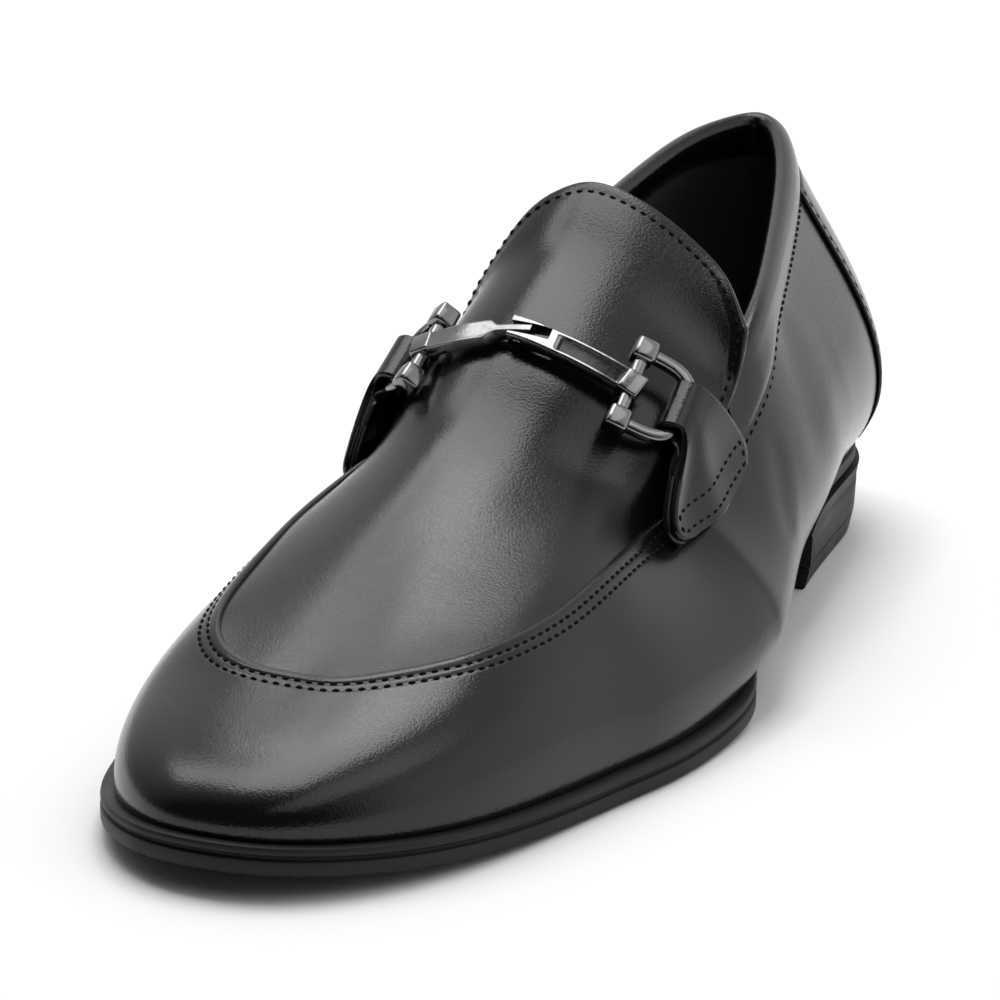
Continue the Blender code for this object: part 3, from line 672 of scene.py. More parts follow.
def stitch_row(name, points, normals, stitch, sides=6):
    """Row of thread stitches along a line, each a small bead that dips into its two holes."""
    run = run_along(points)
    count = max(int(run[-1] / stitch.pitch), 1)
    at = (np.arange(count) + 0.5) * run[-1] / count
    mids = points_at(at, run, points)
    ups = unit(points_at(at, run, normals))
    along = unit(points_at(at + STITCH_AIM, run, points) - points_at(at - STITCH_AIM, run, points))
    across = np.cross(along, ups)
    turns = np.arange(sides) * 2 * math.pi / sides
    half, radius = stitch.long / 2, stitch.radius
    verts, faces = [], []
    for mid, up, way, side in zip(mids, ups, along, across):
        start = len(verts)
        hole = up * (radius + STITCH_SINK)
        verts.append(mid - way * half - hole)
        for share in STITCH_RINGS:
            r = radius * math.sqrt(1 - STITCH_TAPER * share * share)
            lift = radius * (STITCH_ARCH - STITCH_DIP * share * share) - STITCH_SINK
            heart = mid + way * share * half + up * lift
            verts += [heart + (side * math.cos(a) + up * STITCH_FLAT * math.sin(a)) * r for a in turns]
        verts.append(mid + way * half - hole)
        last = start + 1 + (len(STITCH_RINGS) - 1) * sides
        for j in range(sides):
            h = (j + 1) % sides
            faces.append((start, start + 1 + h, start + 1 + j))
            for a in range(start + 1, last, sides):
                faces.append((a + j, a + h, a + sides + h, a + sides + j))
            faces.append((last + j, last + h, last + sides))
    return finish_piece(mesh_object(name, np.array(verts), faces, [THREAD], sharp=80.0))


# Upper: rows of seam stitches below its top edge, and the relief beside them
SEAM_ROWS = (1.9, 4.0)
SEAM_LIFT = -0.1
SEAM_ON = Change(SEAM_LAT, 0.4, 1.0, 0.0)
SEAM_PUFF = Bell(0.25, 0.7, 1.0)
SEAM_BELLS = [Bell(-0.14, 1.9, 0.4), Bell(0.06, 2.95, 0.6), Bell(-0.14, 4.0, 0.4)]
# Mesh rows near the top edge, closest at the stitches
NEAR_ROWS = (0.0, 0.3, 0.65, 1.0, 1.35, 1.65, 1.9, 2.15, 2.5, 2.95, 3.4, 3.75, 4.0, 4.25, 4.6, 5.0, 5.6, 6.5,
             8.0, 10.0)
TUCK_DOWN = 0.5
TUCK_IN = 0.8
# Main creases, each from one place to another on its side
Crease = namedtuple("Crease", "side d0 z0 d1 z1 width depth")
CREASES = table(Crease, [
    (1, 186.0, 47.0, 176.0, 33.0, 2.6, 0.2),
    (1, 214.0, 66.0, 206.0, 40.0, 7.0, 0.3),
    (-1, 190.0, 55.0, 176.0, 35.0, 6.0, 0.3),
    (-1, 214.0, 68.0, 206.0, 42.0, 7.0, 0.3),
])
CREASE_BELLS = [Bell(-1.0, 0.0, 1.0), Bell(0.55, 2.1, 1.0), Bell(0.55, -2.1, 1.0)]
CREASE_PAST = 0.25
CREASE_FADE = 0.4


def crease_relief(points):
    """Soft troughs with a low ridge on each side, placed on the two sides of the upper."""
    total = np.zeros(points.shape[:-1])
    for c in CREASES:
        a = np.array([c.d0, c.z0])
        run = np.array([c.d1, c.z1]) - a
        length = np.linalg.norm(run)
        rel = points[..., 1:3] - a
        t = (rel @ run) / length ** 2
        off = (rel[..., 0] * run[1] - rel[..., 1] * run[0]) / length
        here = np.sign(points[..., 0] - SHIFT_X) == c.side
        fade = here * window(t, -CREASE_PAST, 1 + CREASE_PAST, CREASE_FADE)
        total += c.depth * relief(off / c.width, CREASE_BELLS) * fade
    return total


def seam_relief(u, depth):
    """Puffed folded edge of the vamp and the stitch valleys beside it, up to the apron's end."""
    ring = np.minimum(np.mod(u, COUNT), COUNT - np.mod(u, COUNT))[:, None]
    puff = np.sqrt(np.clip(1.0 - ((depth - SEAM_PUFF.at) / SEAM_PUFF.width) ** 2, 0.0, 1.0))
    return changed(ring, SEAM_ON) * (SEAM_PUFF.height * puff + relief(depth, SEAM_BELLS))


def build_upper(around=520, down=48):
    u = loop_steps(around)
    near = np.array(NEAR_ROWS)
    length = share_at_depth(u, near[None])[1]
    rest = np.linspace(0, 1, down)[1:]
    depth = np.concatenate([np.broadcast_to(near, (len(u), len(near))),
                            near[-1] + (length[:, None] - near[-1]) * rest[None]], axis=1)
    v = share_at_depth(u, depth)[0]
    points = wall(u[:, None], v)
    normal = wall_normal(u[:, None], v)
    outer = points + normal * (seam_relief(u, depth) + crease_relief(points))[..., None]
    tuck = outer[:, -1:] - np.array([0.0, 0.0, TUCK_DOWN]) - normal[:, -1:] * TUCK_IN
    rise = wall_rise(u)
    top = outer[:, 0] - normal[:, 0] * WALL / 2
    turns = np.radians((45, 90, 135))
    rim = [top + WALL / 2 * (normal[:, 0] * math.cos(a) + rise * math.sin(a)) for a in turns]
    inner_rows = np.r_[0, 3:v.shape[1]:4, v.shape[1] - 1]
    inner = points[:, inner_rows] - normal[:, inner_rows] * WALL
    sections = np.concatenate([tuck, outer[:, ::-1], np.stack(rim, axis=1), inner], axis=1)
    slots = np.zeros(sections.shape[1], int)
    slots[-len(inner_rows):] = 1
    obj = loft("upper_leather", sections, [LEATHER, LINING], slots, closed=True, sharp=60.0)
    finish_piece(obj, "upper")


def wall_line(u, depth, lift):
    """Line on the upper at a depth below the top edge, with its normals."""
    v = share_at_depth(u, np.asarray(depth, float).reshape(len(u), 1))[0][:, 0]
    normal = wall_normal(u, v)
    return wall(u, v) + normal * lift, normal


def build_seam_stitches(steps=700):
    u = np.linspace(-SEAM_MED, SEAM_LAT, steps)
    for k, row in enumerate(SEAM_ROWS):
        points, normal = wall_line(u, np.full_like(u, row), SEAM_LIFT)
        stitch_row("apron_stitches_%d" % (k + 1), points, normal, SEAM_STITCH)


# Apron and tongue
PLUG_LONG = 160.0
FREE_FROM = 158.0
STITCHED_FROM = 160.0
TONGUE_INSET = 2.7
TONGUE_BELLS = [Bell(0.06, 1.3, 0.8), Bell(-0.06, TONGUE_INSET, 0.45)]


def free_edge(grid):
    """Tongue's free edge as one line, from the lateral side round the top to the medial side."""
    behind = grid[:, 0, 1] > FREE_FROM
    return np.concatenate([grid[behind, 0], grid[-1, 1:-1], grid[behind, -1][::-1]])


def edge_offset(grid, normals, inset, step=3):
    """Line on the tongue at an inset from its free edge, with its normals."""
    rows, cols = grid.shape[:2]
    keep = int(round(rows - 1 - inset * rows / PLUG_LONG))
    behind = np.where(grid[:, 0, 1] > STITCHED_FROM)[0]
    behind = behind[behind <= keep - 2]
    line, ups = [], []

    def step_in(points, normal):
        line.append(points_at([inset], run_along(points), points)[0])
        ups.append(normal)

    for i in behind:
        step_in(grid[i], normals[i, step])
    for j in range(step + 1, cols - step - 1):
        step_in(grid[::-1, j], normals[-1 - step, j])
    for i in behind[::-1]:
        step_in(grid[i, ::-1], normals[i, -1 - step])
    return np.array(line), np.array(ups)


def build_apron(rows=200, cols=131, chunks=12):
    grid = plug(rows, cols)
    normals = grid_normals(grid)
    away = np.full(grid.shape[:2], np.inf)
    for chunk in np.array_split(free_edge(grid), chunks):
        gap = np.linalg.norm(grid[:, :, None] - chunk[None, None], axis=-1)
        away = np.minimum(away, gap.min(axis=2))
    grid = grid + normals * relief(away, TONGUE_BELLS)[..., None]
    obj = slab("apron_tongue_leather", grid, normals, 0.0, -PLUG, [LEATHER])
    finish_piece(obj, "apron_tongue")
    line, ups = edge_offset(grid, normals, TONGUE_INSET)
    stitch_row("tongue_stitches", line, ups, SEAM_STITCH)


# Collar, a padded band rolled over the top edge
Pad = namedtuple("Pad", "off down")
PAD_OUTER = table(Pad, [(0.15, 1.0), (0.95, 0.9), (1.5, 0.66), (1.7, 0.36)])
PAD_ROLL = table(Pad, [(1.25, 0.4), (-0.7, -1.0), (-2.7, -0.1), (-3.6, 2.6), (-3.3, 5.6), (-2.1, 9.5)])
PAD_BACK = table(Pad, [(-1.95, 9.0), (-1.95, 6.0), (-1.95, 3.0), (-1.9, 0.6), (-0.9, -0.12), (0.1, 0.6)])
PAD_CLEAR = 0.1
COLLAR_FADE = 0.6
COLLAR_END = 0.3
COLLAR_STITCH_BELOW = 1.2


def build_collar(around=340, pad_steps=46, under_steps=7):
    u = np.linspace(COLLAR_FROM, COUNT - COLLAR_FROM, around)
    seam_depth = band_depth(ring_at(u)[0][:, 3])
    end = window(u, COLLAR_FROM, COUNT - COLLAR_FROM, COLLAR_FADE)
    back = np.array(PAD_BACK)
    inside = -WALL - PAD_CLEAR
    off, down = [], []
    for deep, full in zip(seam_depth, COLLAR_END + (1 - COLLAR_END) * end):
        outer = open_spline([(row.off, row.down * deep) for row in PAD_OUTER] + PAD_ROLL, pad_steps)
        puff = np.where(outer[:, 0] > 0, outer[:, 0] * full, outer[:, 0])
        puff = np.where(puff < -WALL, inside + (puff - inside) * full, puff)
        under = np.linspace(back[-1, 1], deep, under_steps)[1:]
        off.append(np.concatenate([puff, back[:, 0], np.full_like(under, back[-1, 0])]))
        down.append(np.concatenate([outer[:, 1], back[:, 1], under]))
    off, down = np.array(off), np.array(down)
    v = share_at_depth(u, np.maximum(down, 0.0))[0]
    sections = (wall(u[:, None], v) + wall_normal(u[:, None], v) * off[..., None]
                + wall_rise(u)[:, None] * np.maximum(-down, 0.0)[..., None])
    obj = loft("collar_padded", sections, [LEATHER], sharp=60.0)
    finish_piece(obj, "collar")
    points, ups = wall_line(u, seam_depth + COLLAR_STITCH_BELOW, 0.0)
    stitch_row("collar_stitches", points, ups, EDGE_STITCH)


# Back strap, by share from its foot up
STRAP_STEP = 0.85
STRAP_TAPER = 0.1
STRAP_CLEAR = 0.4
STRAP_LIFT = 0.1
STRAP_THICK = Change(0.0, 0.2, 0.35, 1.0)
STRAP_GROOVE = [Bell(-0.3, 2.2, 0.5)]
STRAP_STITCH_HIGH = 0.9


def build_back_strap(across=120, up=60, column=3):
    u = np.linspace(STRAP_FROM, COUNT - STRAP_FROM, across)
    below = band_depth(ring_at(u)[0][:, 3]) + STRAP_CLEAR
    upper_end = share_at_depth(u, below[:, None])[0]
    share = np.linspace(0.0, 1, up)
    v = upper_end * share[None]
    u = BACK + (u[:, None] - BACK) * (1.0 - STRAP_TAPER * (1.0 - share))[None]
    normals = wall_normal(u, v)
    edge = np.minimum(np.arange(across), np.arange(across)[::-1]) * STRAP_STEP
    grid = wall(u, v) + normals * relief(edge, STRAP_GROOVE)[:, None, None]
    thick = changed(share, STRAP_THICK)
    obj = slab("back_strap_leather", grid, normals, thick[None, :, None], STRAP_LIFT, [LEATHER])
    finish_piece(obj, "back_strap")
    for name, k in (("lateral", column), ("medial", -1 - column)):
        points = grid[k] + normals[k] * STRAP_STITCH_HIGH * thick[:, None]
        stitch_row("strap_stitches_" + name, points, normals[k], EDGE_STITCH)


# Bit
BLOCK_ROUND = 1.1
METAL_SHARP = 32.0
BAR_BOW = (0.0, -1.0, 2.6)
BAR_BEVEL = 0.3
BAR_TWIST = Change(0.4, 0.4, 0.0, 1.0)
EYE_PAST = 2.7
EYE_SHIFT = 0.2
EYE_ROUND = 0.6
WIRE_CLEAR = 0.15
PIN_CLEAR = 0.1
PIN_PROUD = 0.6
PIN_ROUND = 0.25
CUT_LONG = 14.0
# Forked bar with its sunk panel, and the blade, by share of the length from the pin
FORK_START = -0.08
FORK_HIGH = 9.0
FORK_FRAME = 5
FORK_THICK = Change(0.05, 0.3, 3.7, BAR_THICK)
PANEL_DEEP = 0.7
PANEL_LEAST = 0.02
PANEL_FROM = 0.31
PANEL_TO = 0.87
PANEL_RUN = 0.03
LACQUER = (0.32, 0.86)
BLADE_START = -0.1
BLADE_WIDE = Change(0.2, 0.12, BLADE, BAR_WIDE)
BLADE_THICK = Change(0.2, 0.2, 3.3, BAR_THICK)
# Rail along a bar's edge, from its side in to the panel
Rail = namedtuple("Rail", "inset drop sunk")
RAIL_EDGE = table(Rail, [
    (0.0, 0.45, 0.0), (0.15, 0.13, 0.0), (0.5, 0.0, 0.0), (0.6, 0.0, 0.0), (0.85, 0.0, 0.1), (1.05, 0.0, 0.9),
    (1.3, 0.0, 1.0),
])
RingFrame = namedtuple("RingFrame", "mid along out up half depth")
BarFrame = namedtuple("BarFrame", "share point side up run")


def ring_frame(side):
    """Middle of a ring's crossbar and its own axes: along the bar, out to the tab, and off the instep."""
    rear, front = np.array(side.bar.rear), np.array(side.bar.front)
    mid = 0.5 * (rear + front)
    along = unit(rear - front)
    out = np.array(side.fold) - mid
    out = out - along * out.dot(along)
    depth = np.linalg.norm(out)
    out = unit(out)
    up = np.cross(out, along)
    if up[2] < 0:
        up = -up
    return RingFrame(mid, along, out, up, 0.5 * np.linalg.norm(rear - front), depth)


def axes_at(point, x, y, z):
    m = Matrix([[x[i], y[i], z[i], 0.0] for i in range(3)] + [[0, 0, 0, 1]])
    m.translation = Vector(place(point))
    return m


def side_axes(axis):
    """Three square axes with the given one last."""
    axis = unit(axis)
    first = unit(np.cross(axis, (1.0, 0.0, 0.1)))
    return first, np.cross(axis, first), axis


def tool_box(matrix, size, bevel=0.0):
    """Box in millimetres with rounded edges, as a loose mesh object."""
    bm = bmesh.new()
    bmesh.ops.create_cube(bm, size=1.0)
    bmesh.ops.scale(bm, vec=[s * MM for s in size], verts=bm.verts)
    if bevel:
        bmesh.ops.bevel(bm, geom=bm.edges[:], offset=bevel * MM, segments=3, profile=0.5, affect="EDGES")
    return tool_object(bm, matrix)


def tool_rod(matrix, radius, length, sides=40):
    bm = bmesh.new()
    bmesh.ops.create_cone(bm, cap_ends=True, segments=sides, radius1=radius * MM, radius2=radius * MM,
                          depth=length * MM)
    return tool_object(bm, matrix)


def tool_object(bm, matrix, name="tool"):
    mesh = bpy.data.meshes.new(name)
    bm.to_mesh(mesh)
    bm.free()
    mesh.transform(matrix)
    return linked(name, mesh)


def combined(obj, tools):
    """Applies joins and cuts, each a tool object and an operation, and removes the tools."""
    for tool, operation in tools:
        mod = obj.modifiers.new("cut", "BOOLEAN")
        mod.object = tool
        mod.operation = operation
        mod.solver = "EXACT"
    bpy.context.view_layer.update()
    graph = bpy.context.evaluated_depsgraph_get()
    mesh = bpy.data.meshes.new_from_object(obj.evaluated_get(graph))
    obj.modifiers.clear()
    obj.data = mesh
    for tool, _ in tools:
        bpy.data.objects.remove(tool, do_unlink=True)
    if not mesh.materials:
        mesh.materials.append(METAL)
    mesh.shade_smooth()
    mesh.set_sharp_from_angle(angle=math.radians(METAL_SHARP))
    return obj


def tube_sections(points, radius, sides=20):
    """Round loops square to a closed line."""
    way = unit(np.roll(points, -1, axis=0) - np.roll(points, 1, axis=0))
    flat = unit(np.cross(points[len(points) // 4] - points[0], points[len(points) // 2] - points[0]))
    side = np.cross(way, flat)
    turns = np.arange(sides) * 2 * math.pi / sides
    flat_way = np.sign(np.cos(turns)) * np.abs(np.cos(turns)) ** WIRE_SQUARE
    side_way = np.sign(np.sin(turns)) * np.abs(np.sin(turns)) ** WIRE_SQUARE
    return np.stack([points + radius * (side * a + flat * b) for a, b in zip(side_way, flat_way)], axis=1)


def build_ring(side, arc=61, around=120):
    ring = ring_frame(side)
    turns = np.linspace(0, math.pi, arc)
    across = ring.half * np.sign(np.cos(turns)) * np.abs(np.cos(turns)) ** (2 / RING_POWER)
    far = ring.depth * np.sin(turns) ** (2 / RING_POWER)
    loop = np.array([ring.mid + ring.along * a + ring.out * b for a, b in zip(across, far)])
    loop = resample(np.vstack([loop, loop[:1]]), around + 1)[:-1]
    name = "ring_" + side.name
    obj = loft(name + "_metal", tube_sections(loop, RING_WIRE), [METAL], closed=True)
    tools = []
    for end in (-1, 1):
        block = axes_at(ring.mid + ring.along * ring.half * end, ring.along, ring.out, ring.up)
        tools.append((tool_box(block, (BLOCK, BLOCK_SIDE, BLOCK_SIDE), BLOCK_ROUND), "UNION"))
    combined(obj, tools)
    finish_piece(obj, name)


def bar_path(ring, start, pin_axis, steps=60):
    """Frames of an arched bar from the pin out to its eye on the ring's crossbar."""
    pin = np.array(PIN_AT)
    end = ring.mid + unit(ring.mid - pin) * EYE_PAST
    bow = 0.5 * (pin + end) + np.array(BAR_BOW)
    frames = []
    for a in np.linspace(start, 1, steps):
        point = (1 - a) ** 2 * pin + 2 * a * (1 - a) * bow + a * a * end
        run = unit(2 * (1 - a) * (bow - pin) + 2 * a * (end - bow))
        turn = changed(a, BAR_TWIST)
        side = unit((1 - turn) * pin_axis + turn * unit(ring.along - run * ring.along.dot(run)))
        frames.append(BarFrame(a, point, side, unit(np.cross(run, side)), run))
    return frames


def forked_size(a):
    """Width, thickness and panel depth of the forked bar at a share of its length."""
    recess = PANEL_DEEP * window(a, PANEL_FROM, PANEL_TO, PANEL_RUN)
    return BAR_WIDE, changed(a, FORK_THICK), max(recess, PANEL_LEAST)


def blade_size(a):
    """Width, thickness and panel depth of the bar with the blade at a share of its length."""
    return changed(a, BLADE_WIDE), changed(a, BLADE_THICK), PANEL_LEAST


def bar_section(at, wide, thick, recess):
    """Bar's outline at one frame: rounded rails along both edges and a sunk panel between them."""
    up = -at.up if at.up[2] < 0 else at.up
    w, t = wide / 2, thick / 2
    rows = [(w, BAR_BEVEL - t)] + [(w - row.inset, t - row.drop - row.sunk * recess) for row in RAIL_EDGE]
    loop = rows + [(-x, y) for x, y in reversed(rows)]
    loop += [(BAR_BEVEL - w, -t), (w - BAR_BEVEL, -t)]
    return [at.point + at.side * x + up * y for x, y in loop]


def build_bar(side, pin_axis):
    """Bar of one side: the lateral one is forked round the other's blade."""
    forked = side.sign > 0
    ring = ring_frame(side)
    frames = bar_path(ring, FORK_START if forked else BLADE_START, pin_axis)
    size_at = forked_size if forked else blade_size
    sections = np.array([bar_section(at, *size_at(at.share)) for at in frames])
    panel = np.zeros(sections.shape[:2], int)
    sunk = [k for k, at in enumerate(frames) if forked and LACQUER[0] < at.share < LACQUER[1]]
    panel[sunk, len(RAIL_EDGE)] = 1
    name = "bar_" + side.name
    obj = loft(name + "_metal", sections, [METAL, PANEL], panel)
    last = frames[-1]
    eye = axes_at(ring.mid + last.run * EYE_SHIFT, last.side, last.run, np.cross(last.side, last.run))
    wire = axes_at(ring.mid, *side_axes(ring.along))
    tools = [(tool_box(eye, (BAR_WIDE, EYE_THICK + EYE_SHIFT, EYE_THICK), EYE_ROUND), "UNION"),
             (tool_rod(wire, RING_WIRE + WIRE_CLEAR, CUT_LONG), "DIFFERENCE")]
    if forked:
        face = frames[FORK_FRAME].up
        slot = axes_at(PIN_AT, np.cross(pin_axis, face), pin_axis, face)
        tools.append((tool_box(slot, (2 * FORK_LONG, FORK, FORK_HIGH)), "DIFFERENCE"))
    bore = axes_at(PIN_AT, *side_axes(pin_axis))
    tools.append((tool_rod(bore, PIN_R + PIN_CLEAR, CUT_LONG), "DIFFERENCE"))
    combined(obj, tools)
    finish_piece(obj, name)


def build_bit():
    """Two bars and the pin that links them, square to the shoe's width."""
    pin_axis = sum(ring_frame(side).along for side in SIDES)
    pin_axis = unit(pin_axis * (0.0, 1.0, 1.0))
    for side in SIDES:
        build_bar(side, pin_axis)
    rod = tool_rod(axes_at(PIN_AT, *side_axes(pin_axis)), PIN_R, BAR_WIDE + PIN_PROUD)
    rod.name = "bit_pin_metal"
    bevel = rod.modifiers.new("rounded ends", "BEVEL")
    bevel.width = PIN_ROUND * MM
    bevel.segments = 3
    bevel.limit_method = "ANGLE"
    combined(rod, [])
    finish_piece(rod, "bit_pin")


# Tabs
TAB_CLEAR = 0.5
TAB_ARCH = 1.5
TAB_CLOSE = 3.0
TAB_ROUND = 0.3
TAB_BOX_SIDE = 2.0
LAYER_GAP = 0.1
CLIMB_STEP = 0.03


def tab_layers(side, rows=60, cols=41, fold_steps=17):
    """Middle surface of a tab: under layer, fold round the ring, and outer layer from the row returned."""
    ring = ring_frame(side)
    loop = ring.mid + ring.out * ring.depth
    line = np.array([loop + ring.along * TAB_FOLD * c for c in np.linspace(-1, 1, cols)])
    sewn = open_spline(side.foot, cols)
    u = loop_at(sewn[:, 0], side.sign)
    v = share_at_height(u, sewn[:, 1])
    normal = wall_normal(u, v)
    climb = unit(wall(u, v + CLIMB_STEP) - wall(u, v))
    foot = wall(u, v) + normal * (1.5 * TAB + TAB_CLEAR)
    r = RING_WIRE + TAB_SLACK + 0.5 * TAB
    top = line + ring.up * r
    reach = top + ring.out * TAB_REACH
    land = foot + climb * TAB_LAND + normal * TAB_ARCH
    share = np.linspace(0, 1, rows)[:, None, None]
    outer = rounded_end(bezier(share, top, reach, land, foot))
    normals = facing(grid_normals(outer), side.sign)
    close = smooth(share * TAB_CLOSE)
    under = outer - normals * (2 * r * (1 - close) + (TAB + LAYER_GAP) * close)
    turns = np.radians(np.linspace(0, 180, fold_steps)[1:-1])
    wrap = np.array([line - ring.out * r * math.sin(t) - ring.up * r * math.cos(t) for t in turns])
    return np.concatenate([under[-2:0:-1], wrap, outer], axis=0), len(under) - 2 + len(turns)


def facing(normals, sign, first=0):
    """Normals turned to the outer side of the shoe, judged by the rows from the first one on."""
    return normals if np.mean(normals[first:, :, 0]) * sign > 0 else -normals


def rows_left(outer):
    """Distance of each row from the tab's end, along its middle."""
    return run_along(outer[::-1, outer.shape[1] // 2])[::-1]


def rounded_end(outer):
    """Draws the sides in at the tab's end so that its corners are round."""
    result = outer.copy()
    for k, left in enumerate(rows_left(outer)):
        if left >= TAB_CORNER:
            continue
        inset = TAB_CORNER - math.sqrt(TAB_CORNER ** 2 - (TAB_CORNER - left) ** 2)
        result[k] = resample(outer[k], outer.shape[1], inset)
    return result


def build_tab(side):
    name = "tab_" + side.name
    grid, first = tab_layers(side)
    normals = facing(grid_normals(grid), side.sign, first)
    obj = slab(name + "_leather", grid, normals, 0.5 * TAB, -0.5 * TAB, [LEATHER], TAB_ROUND)
    finish_piece(obj, name)
    face = grid[first:] + normals[first:] * 0.5 * TAB
    left = rows_left(grid[first:])
    low, high = (int(np.argmin(np.abs(left - edge))) for edge in TAB_BOX)
    rows = [resample(face[k], face.shape[1], TAB_BOX_SIDE) for k in range(high, low + 1)]
    rear = [row[-1] for row in rows[-2::-1]]
    front = [row[0] for row in rows[1:]]
    loop = np.concatenate([rows[-1], rear, rows[0][-2::-1], front])
    ups = np.repeat(normals[first + low, grid.shape[1] // 2][None], len(loop), axis=0)
    stitch_row(name + "_stitches", loop, ups, BOX_STITCH)


# Sole edge by share of its thickness, heel by height
Step = namedtuple("Step", "share out")
SOLE_EDGE = table(Step, [
    (0.0, -2.2), (0.02, -1.2), (0.06, -0.5), (0.11, -0.15), (0.17, 0.0), (0.5, 0.02), (0.55, -0.06),
    (0.58, -0.28), (0.60, -0.75), (0.64, -0.95), (0.68, -0.95), (0.72, -0.75), (0.75, -0.3), (0.79, -0.1),
    (0.86, 0.0), (0.95, -0.08), (1.01, -0.3), (1.045, -0.8), (1.05, -2.6),
])
Layer = namedtuple("Layer", "z out")
STACK = table(Layer, [
    (5.25, -1.4), (5.3, -0.95), (5.6, -0.75), (8.6, -0.55), (8.8, -0.68), (8.95, -0.68), (9.15, -0.53),
    (12.6, -0.35), (12.9, -0.52), (13.2, -0.65), (13.5, -0.52), (13.8, -0.35),
])
LIFT = table(Layer, [(0.0, -2.8), (0.15, -2.2), (0.6, -1.85), (4.5, -0.95), (4.85, -1.05), (5.0, -1.4)])
INSOLE_EDGE = table(Step, [(0.0, -2.4), (0.7, -2.2), (1.0, -3.0), (1.05, -6.0)])
SEAT_GAP = 0.05


def edge_rings(u, margin, base, thick, rows):
    """Rings that follow the underside's curve, at shares of a thickness above a base."""
    plans = [outline(u, margin + row.out) for row in rows]
    return [np.column_stack([plan, underside(plan[:, 1]) + base + thick * row.share])
            for plan, row in zip(plans, rows)]


def level_rings(u, rows):
    return [np.column_stack([outline(u, row.out), np.full_like(u, row.z)]) for row in rows]


def build_sole(around=420):
    u = loop_steps(around)
    rings = edge_rings(u, changed(ring_at(u)[0][:, 1], WELT), 0.0, SOLE, SOLE_EDGE)
    finish_piece(stacked("outsole_rubber", rings, RUBBER), "outsole")


def build_heel(around=180, steps=200):
    near = np.linspace(BACK - 6, BACK - 3, steps)
    start = float(np.interp(BREAST_D, ring_at(near)[0][:, 1], near))
    u = np.linspace(start, COUNT - start, around)
    seat = outline(u, SEAT_MARGIN)
    rings = level_rings(u, STACK)
    rings.append(np.column_stack([seat, underside(seat[:, 1]) - SEAT_GAP]))
    finish_piece(stacked("heel_rubber", rings, RUBBER), "heel")
    finish_piece(stacked("top_lift_rubber", level_rings(u, LIFT), RUBBER), "top_lift")


def build_insole(around=220):
    rings = edge_rings(loop_steps(around), 0.0, SOLE + 2 * GAP, INSOLE, INSOLE_EDGE)
    finish_piece(stacked("insole_sock", rings, LINING, 60.0), "insole")


build_upper()
build_seam_stitches()
build_apron()
build_collar()
build_back_strap()
for shoe_side in SIDES:
    build_ring(shoe_side)
build_bit()
for shoe_side in SIDES:
    build_tab(shoe_side)
build_sole()
build_heel()
build_insole()


# Studio: light panels that face straight down, and the world's light along each axis
FLOOR_HALF = 4.0
LIGHT_HIGH = 1.3
Light = namedtuple("Light", "name x y size_x size_y power")
LIGHTS = table(Light, [
    ("top_panel", -0.17, 0.2, 0.66, 0.9, 7.6),
    ("top_panel_back_edge", -0.19, 0.75, 0.36, 0.23, 1.65),
    ("top_panel_left_edge", -0.44, 0.2, 0.175, 0.69, 1.0),
    ("top_panel_right_edge", 0.12, 0.1, 0.11, 0.69, 0.7),
    ("back_left_panel", -0.625, 1.03, 0.5, 0.44, 0.9),
    ("left_box", -0.845, 0.12, 0.65, 0.46, 2.9),
    ("left_back_box", -0.6, 0.63, 0.2, 0.22, 0.7),
    ("right_top_panel", 0.75, -0.45, 0.7, 1.7, 3.4),
])
Ramp = namedtuple("Ramp", "axis span strength")
RAMPS = [
    Ramp("Y", (-0.5, 0.0), (0.03, 1.0)),
    Ramp("Z", (0.45, 0.95), (0.97, 0.5)),
    Ramp("X", (-0.95, -0.6), (0.35, 1.0)),
]


def build_floor():
    bm = bmesh.new()
    bmesh.ops.create_grid(bm, x_segments=1, y_segments=1, size=FLOOR_HALF)
    obj = tool_object(bm, Matrix(), "floor")
    mat = new_material("pale_floor", (0.95, 0.95, 0.95), 0.8, specular=0.1)[0]
    obj.data.materials.append(mat)


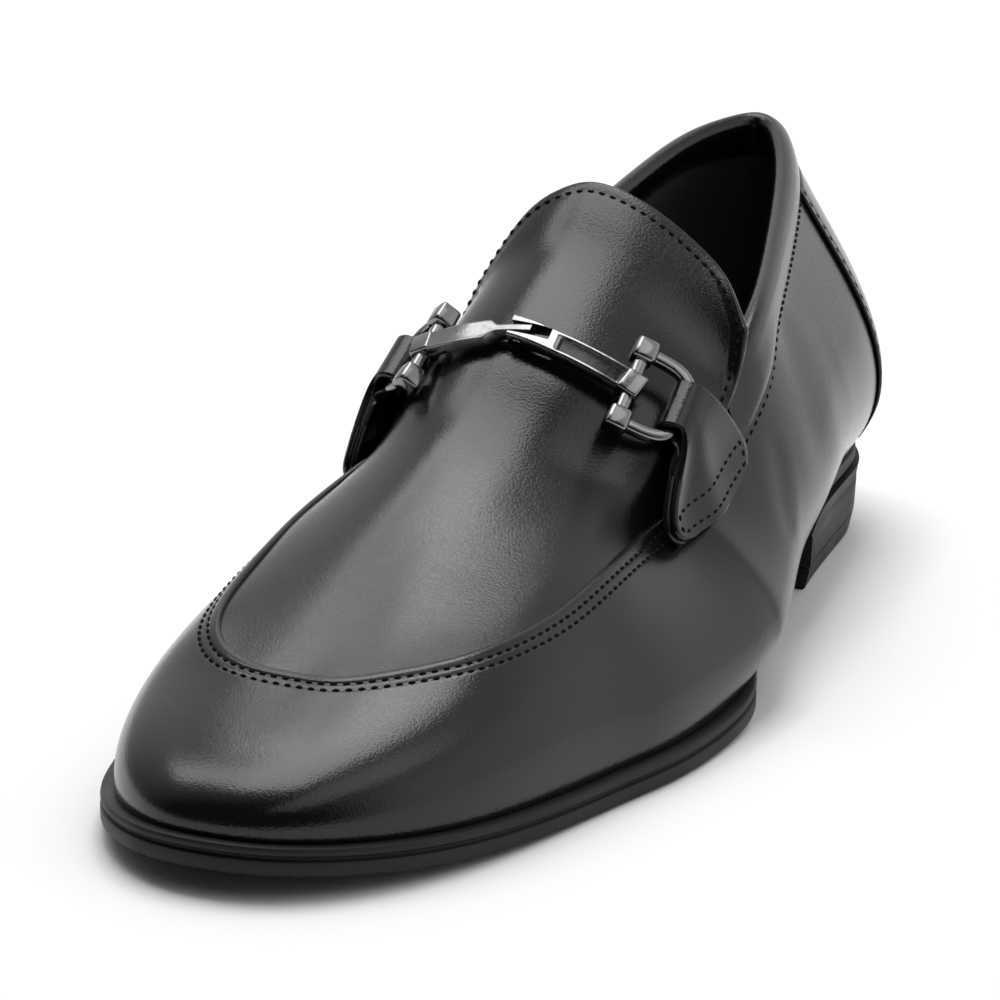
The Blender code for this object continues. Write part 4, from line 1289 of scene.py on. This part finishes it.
def build_lights():
    for row in LIGHTS:
        light = bpy.data.lights.new(row.name, "AREA")
        light.shape = "RECTANGLE"
        light.size, light.size_y = row.size_x, row.size_y
        light.energy = row.power
        linked(row.name, light).location = (row.x, row.y, LIGHT_HIGH)
    bpy.context.scene.view_settings.view_transform = "Standard"


def build_world():
    """Pale room behind the shoe, dark in front of it, dimmer overhead and low on the left."""
    world = bpy.data.worlds.new("studio")
    world.use_nodes = True
    tree = world.node_tree
    coord = tree.nodes.new("ShaderNodeTexCoord")
    axes = tree.nodes.new("ShaderNodeSeparateXYZ")
    tree.links.new(coord.outputs["Generated"], axes.inputs["Vector"])
    strength = None
    for ramp in RAMPS:
        level = ranged(tree, axes.outputs[ramp.axis], ramp.span, ramp.strength)
        if strength:
            product = add_node(tree, "ShaderNodeMath", operation="MULTIPLY")
            tree.links.new(strength, product.inputs[0])
            tree.links.new(level, product.inputs[1])
            level = product.outputs["Value"]
        strength = level
    tree.links.new(strength, tree.nodes["Background"].inputs["Strength"])
    tree.nodes["Background"].inputs["Color"].default_value = (1.0, 1.0, 1.0, 1.0)
    bpy.context.scene.world = world


# Camera at the photo's viewing angle, with its turn, tilt and roll in degrees
CAMERA_AT = (0.51105, -1.17581, 0.4564)
CAMERA_TURN = (23.948, 18.023, 0.581)
CAMERA_LENS = 224.5
CAMERA_SENSOR = 36.0
CAMERA_NEAR = 0.05


def build_camera():
    az, el, roll = (math.radians(a) for a in CAMERA_TURN)
    right = Vector((math.cos(az), math.sin(az), 0.0))
    back = Vector((math.sin(az) * math.cos(el), -math.cos(az) * math.cos(el), math.sin(el)))
    up = back.cross(right)
    x_axis = right * math.cos(roll) + up * math.sin(roll)
    y_axis = up * math.cos(roll) - right * math.sin(roll)
    matrix = Matrix([[x_axis[i], y_axis[i], back[i], CAMERA_AT[i]] for i in range(3)] + [[0, 0, 0, 1]])
    data = bpy.data.cameras.new("camera")
    data.lens = CAMERA_LENS
    data.sensor_width = CAMERA_SENSOR
    data.clip_start = CAMERA_NEAR
    obj = linked("camera", data)
    obj.matrix_world = matrix
    bpy.context.scene.camera = obj


build_floor()
build_world()
build_lights()
build_camera()
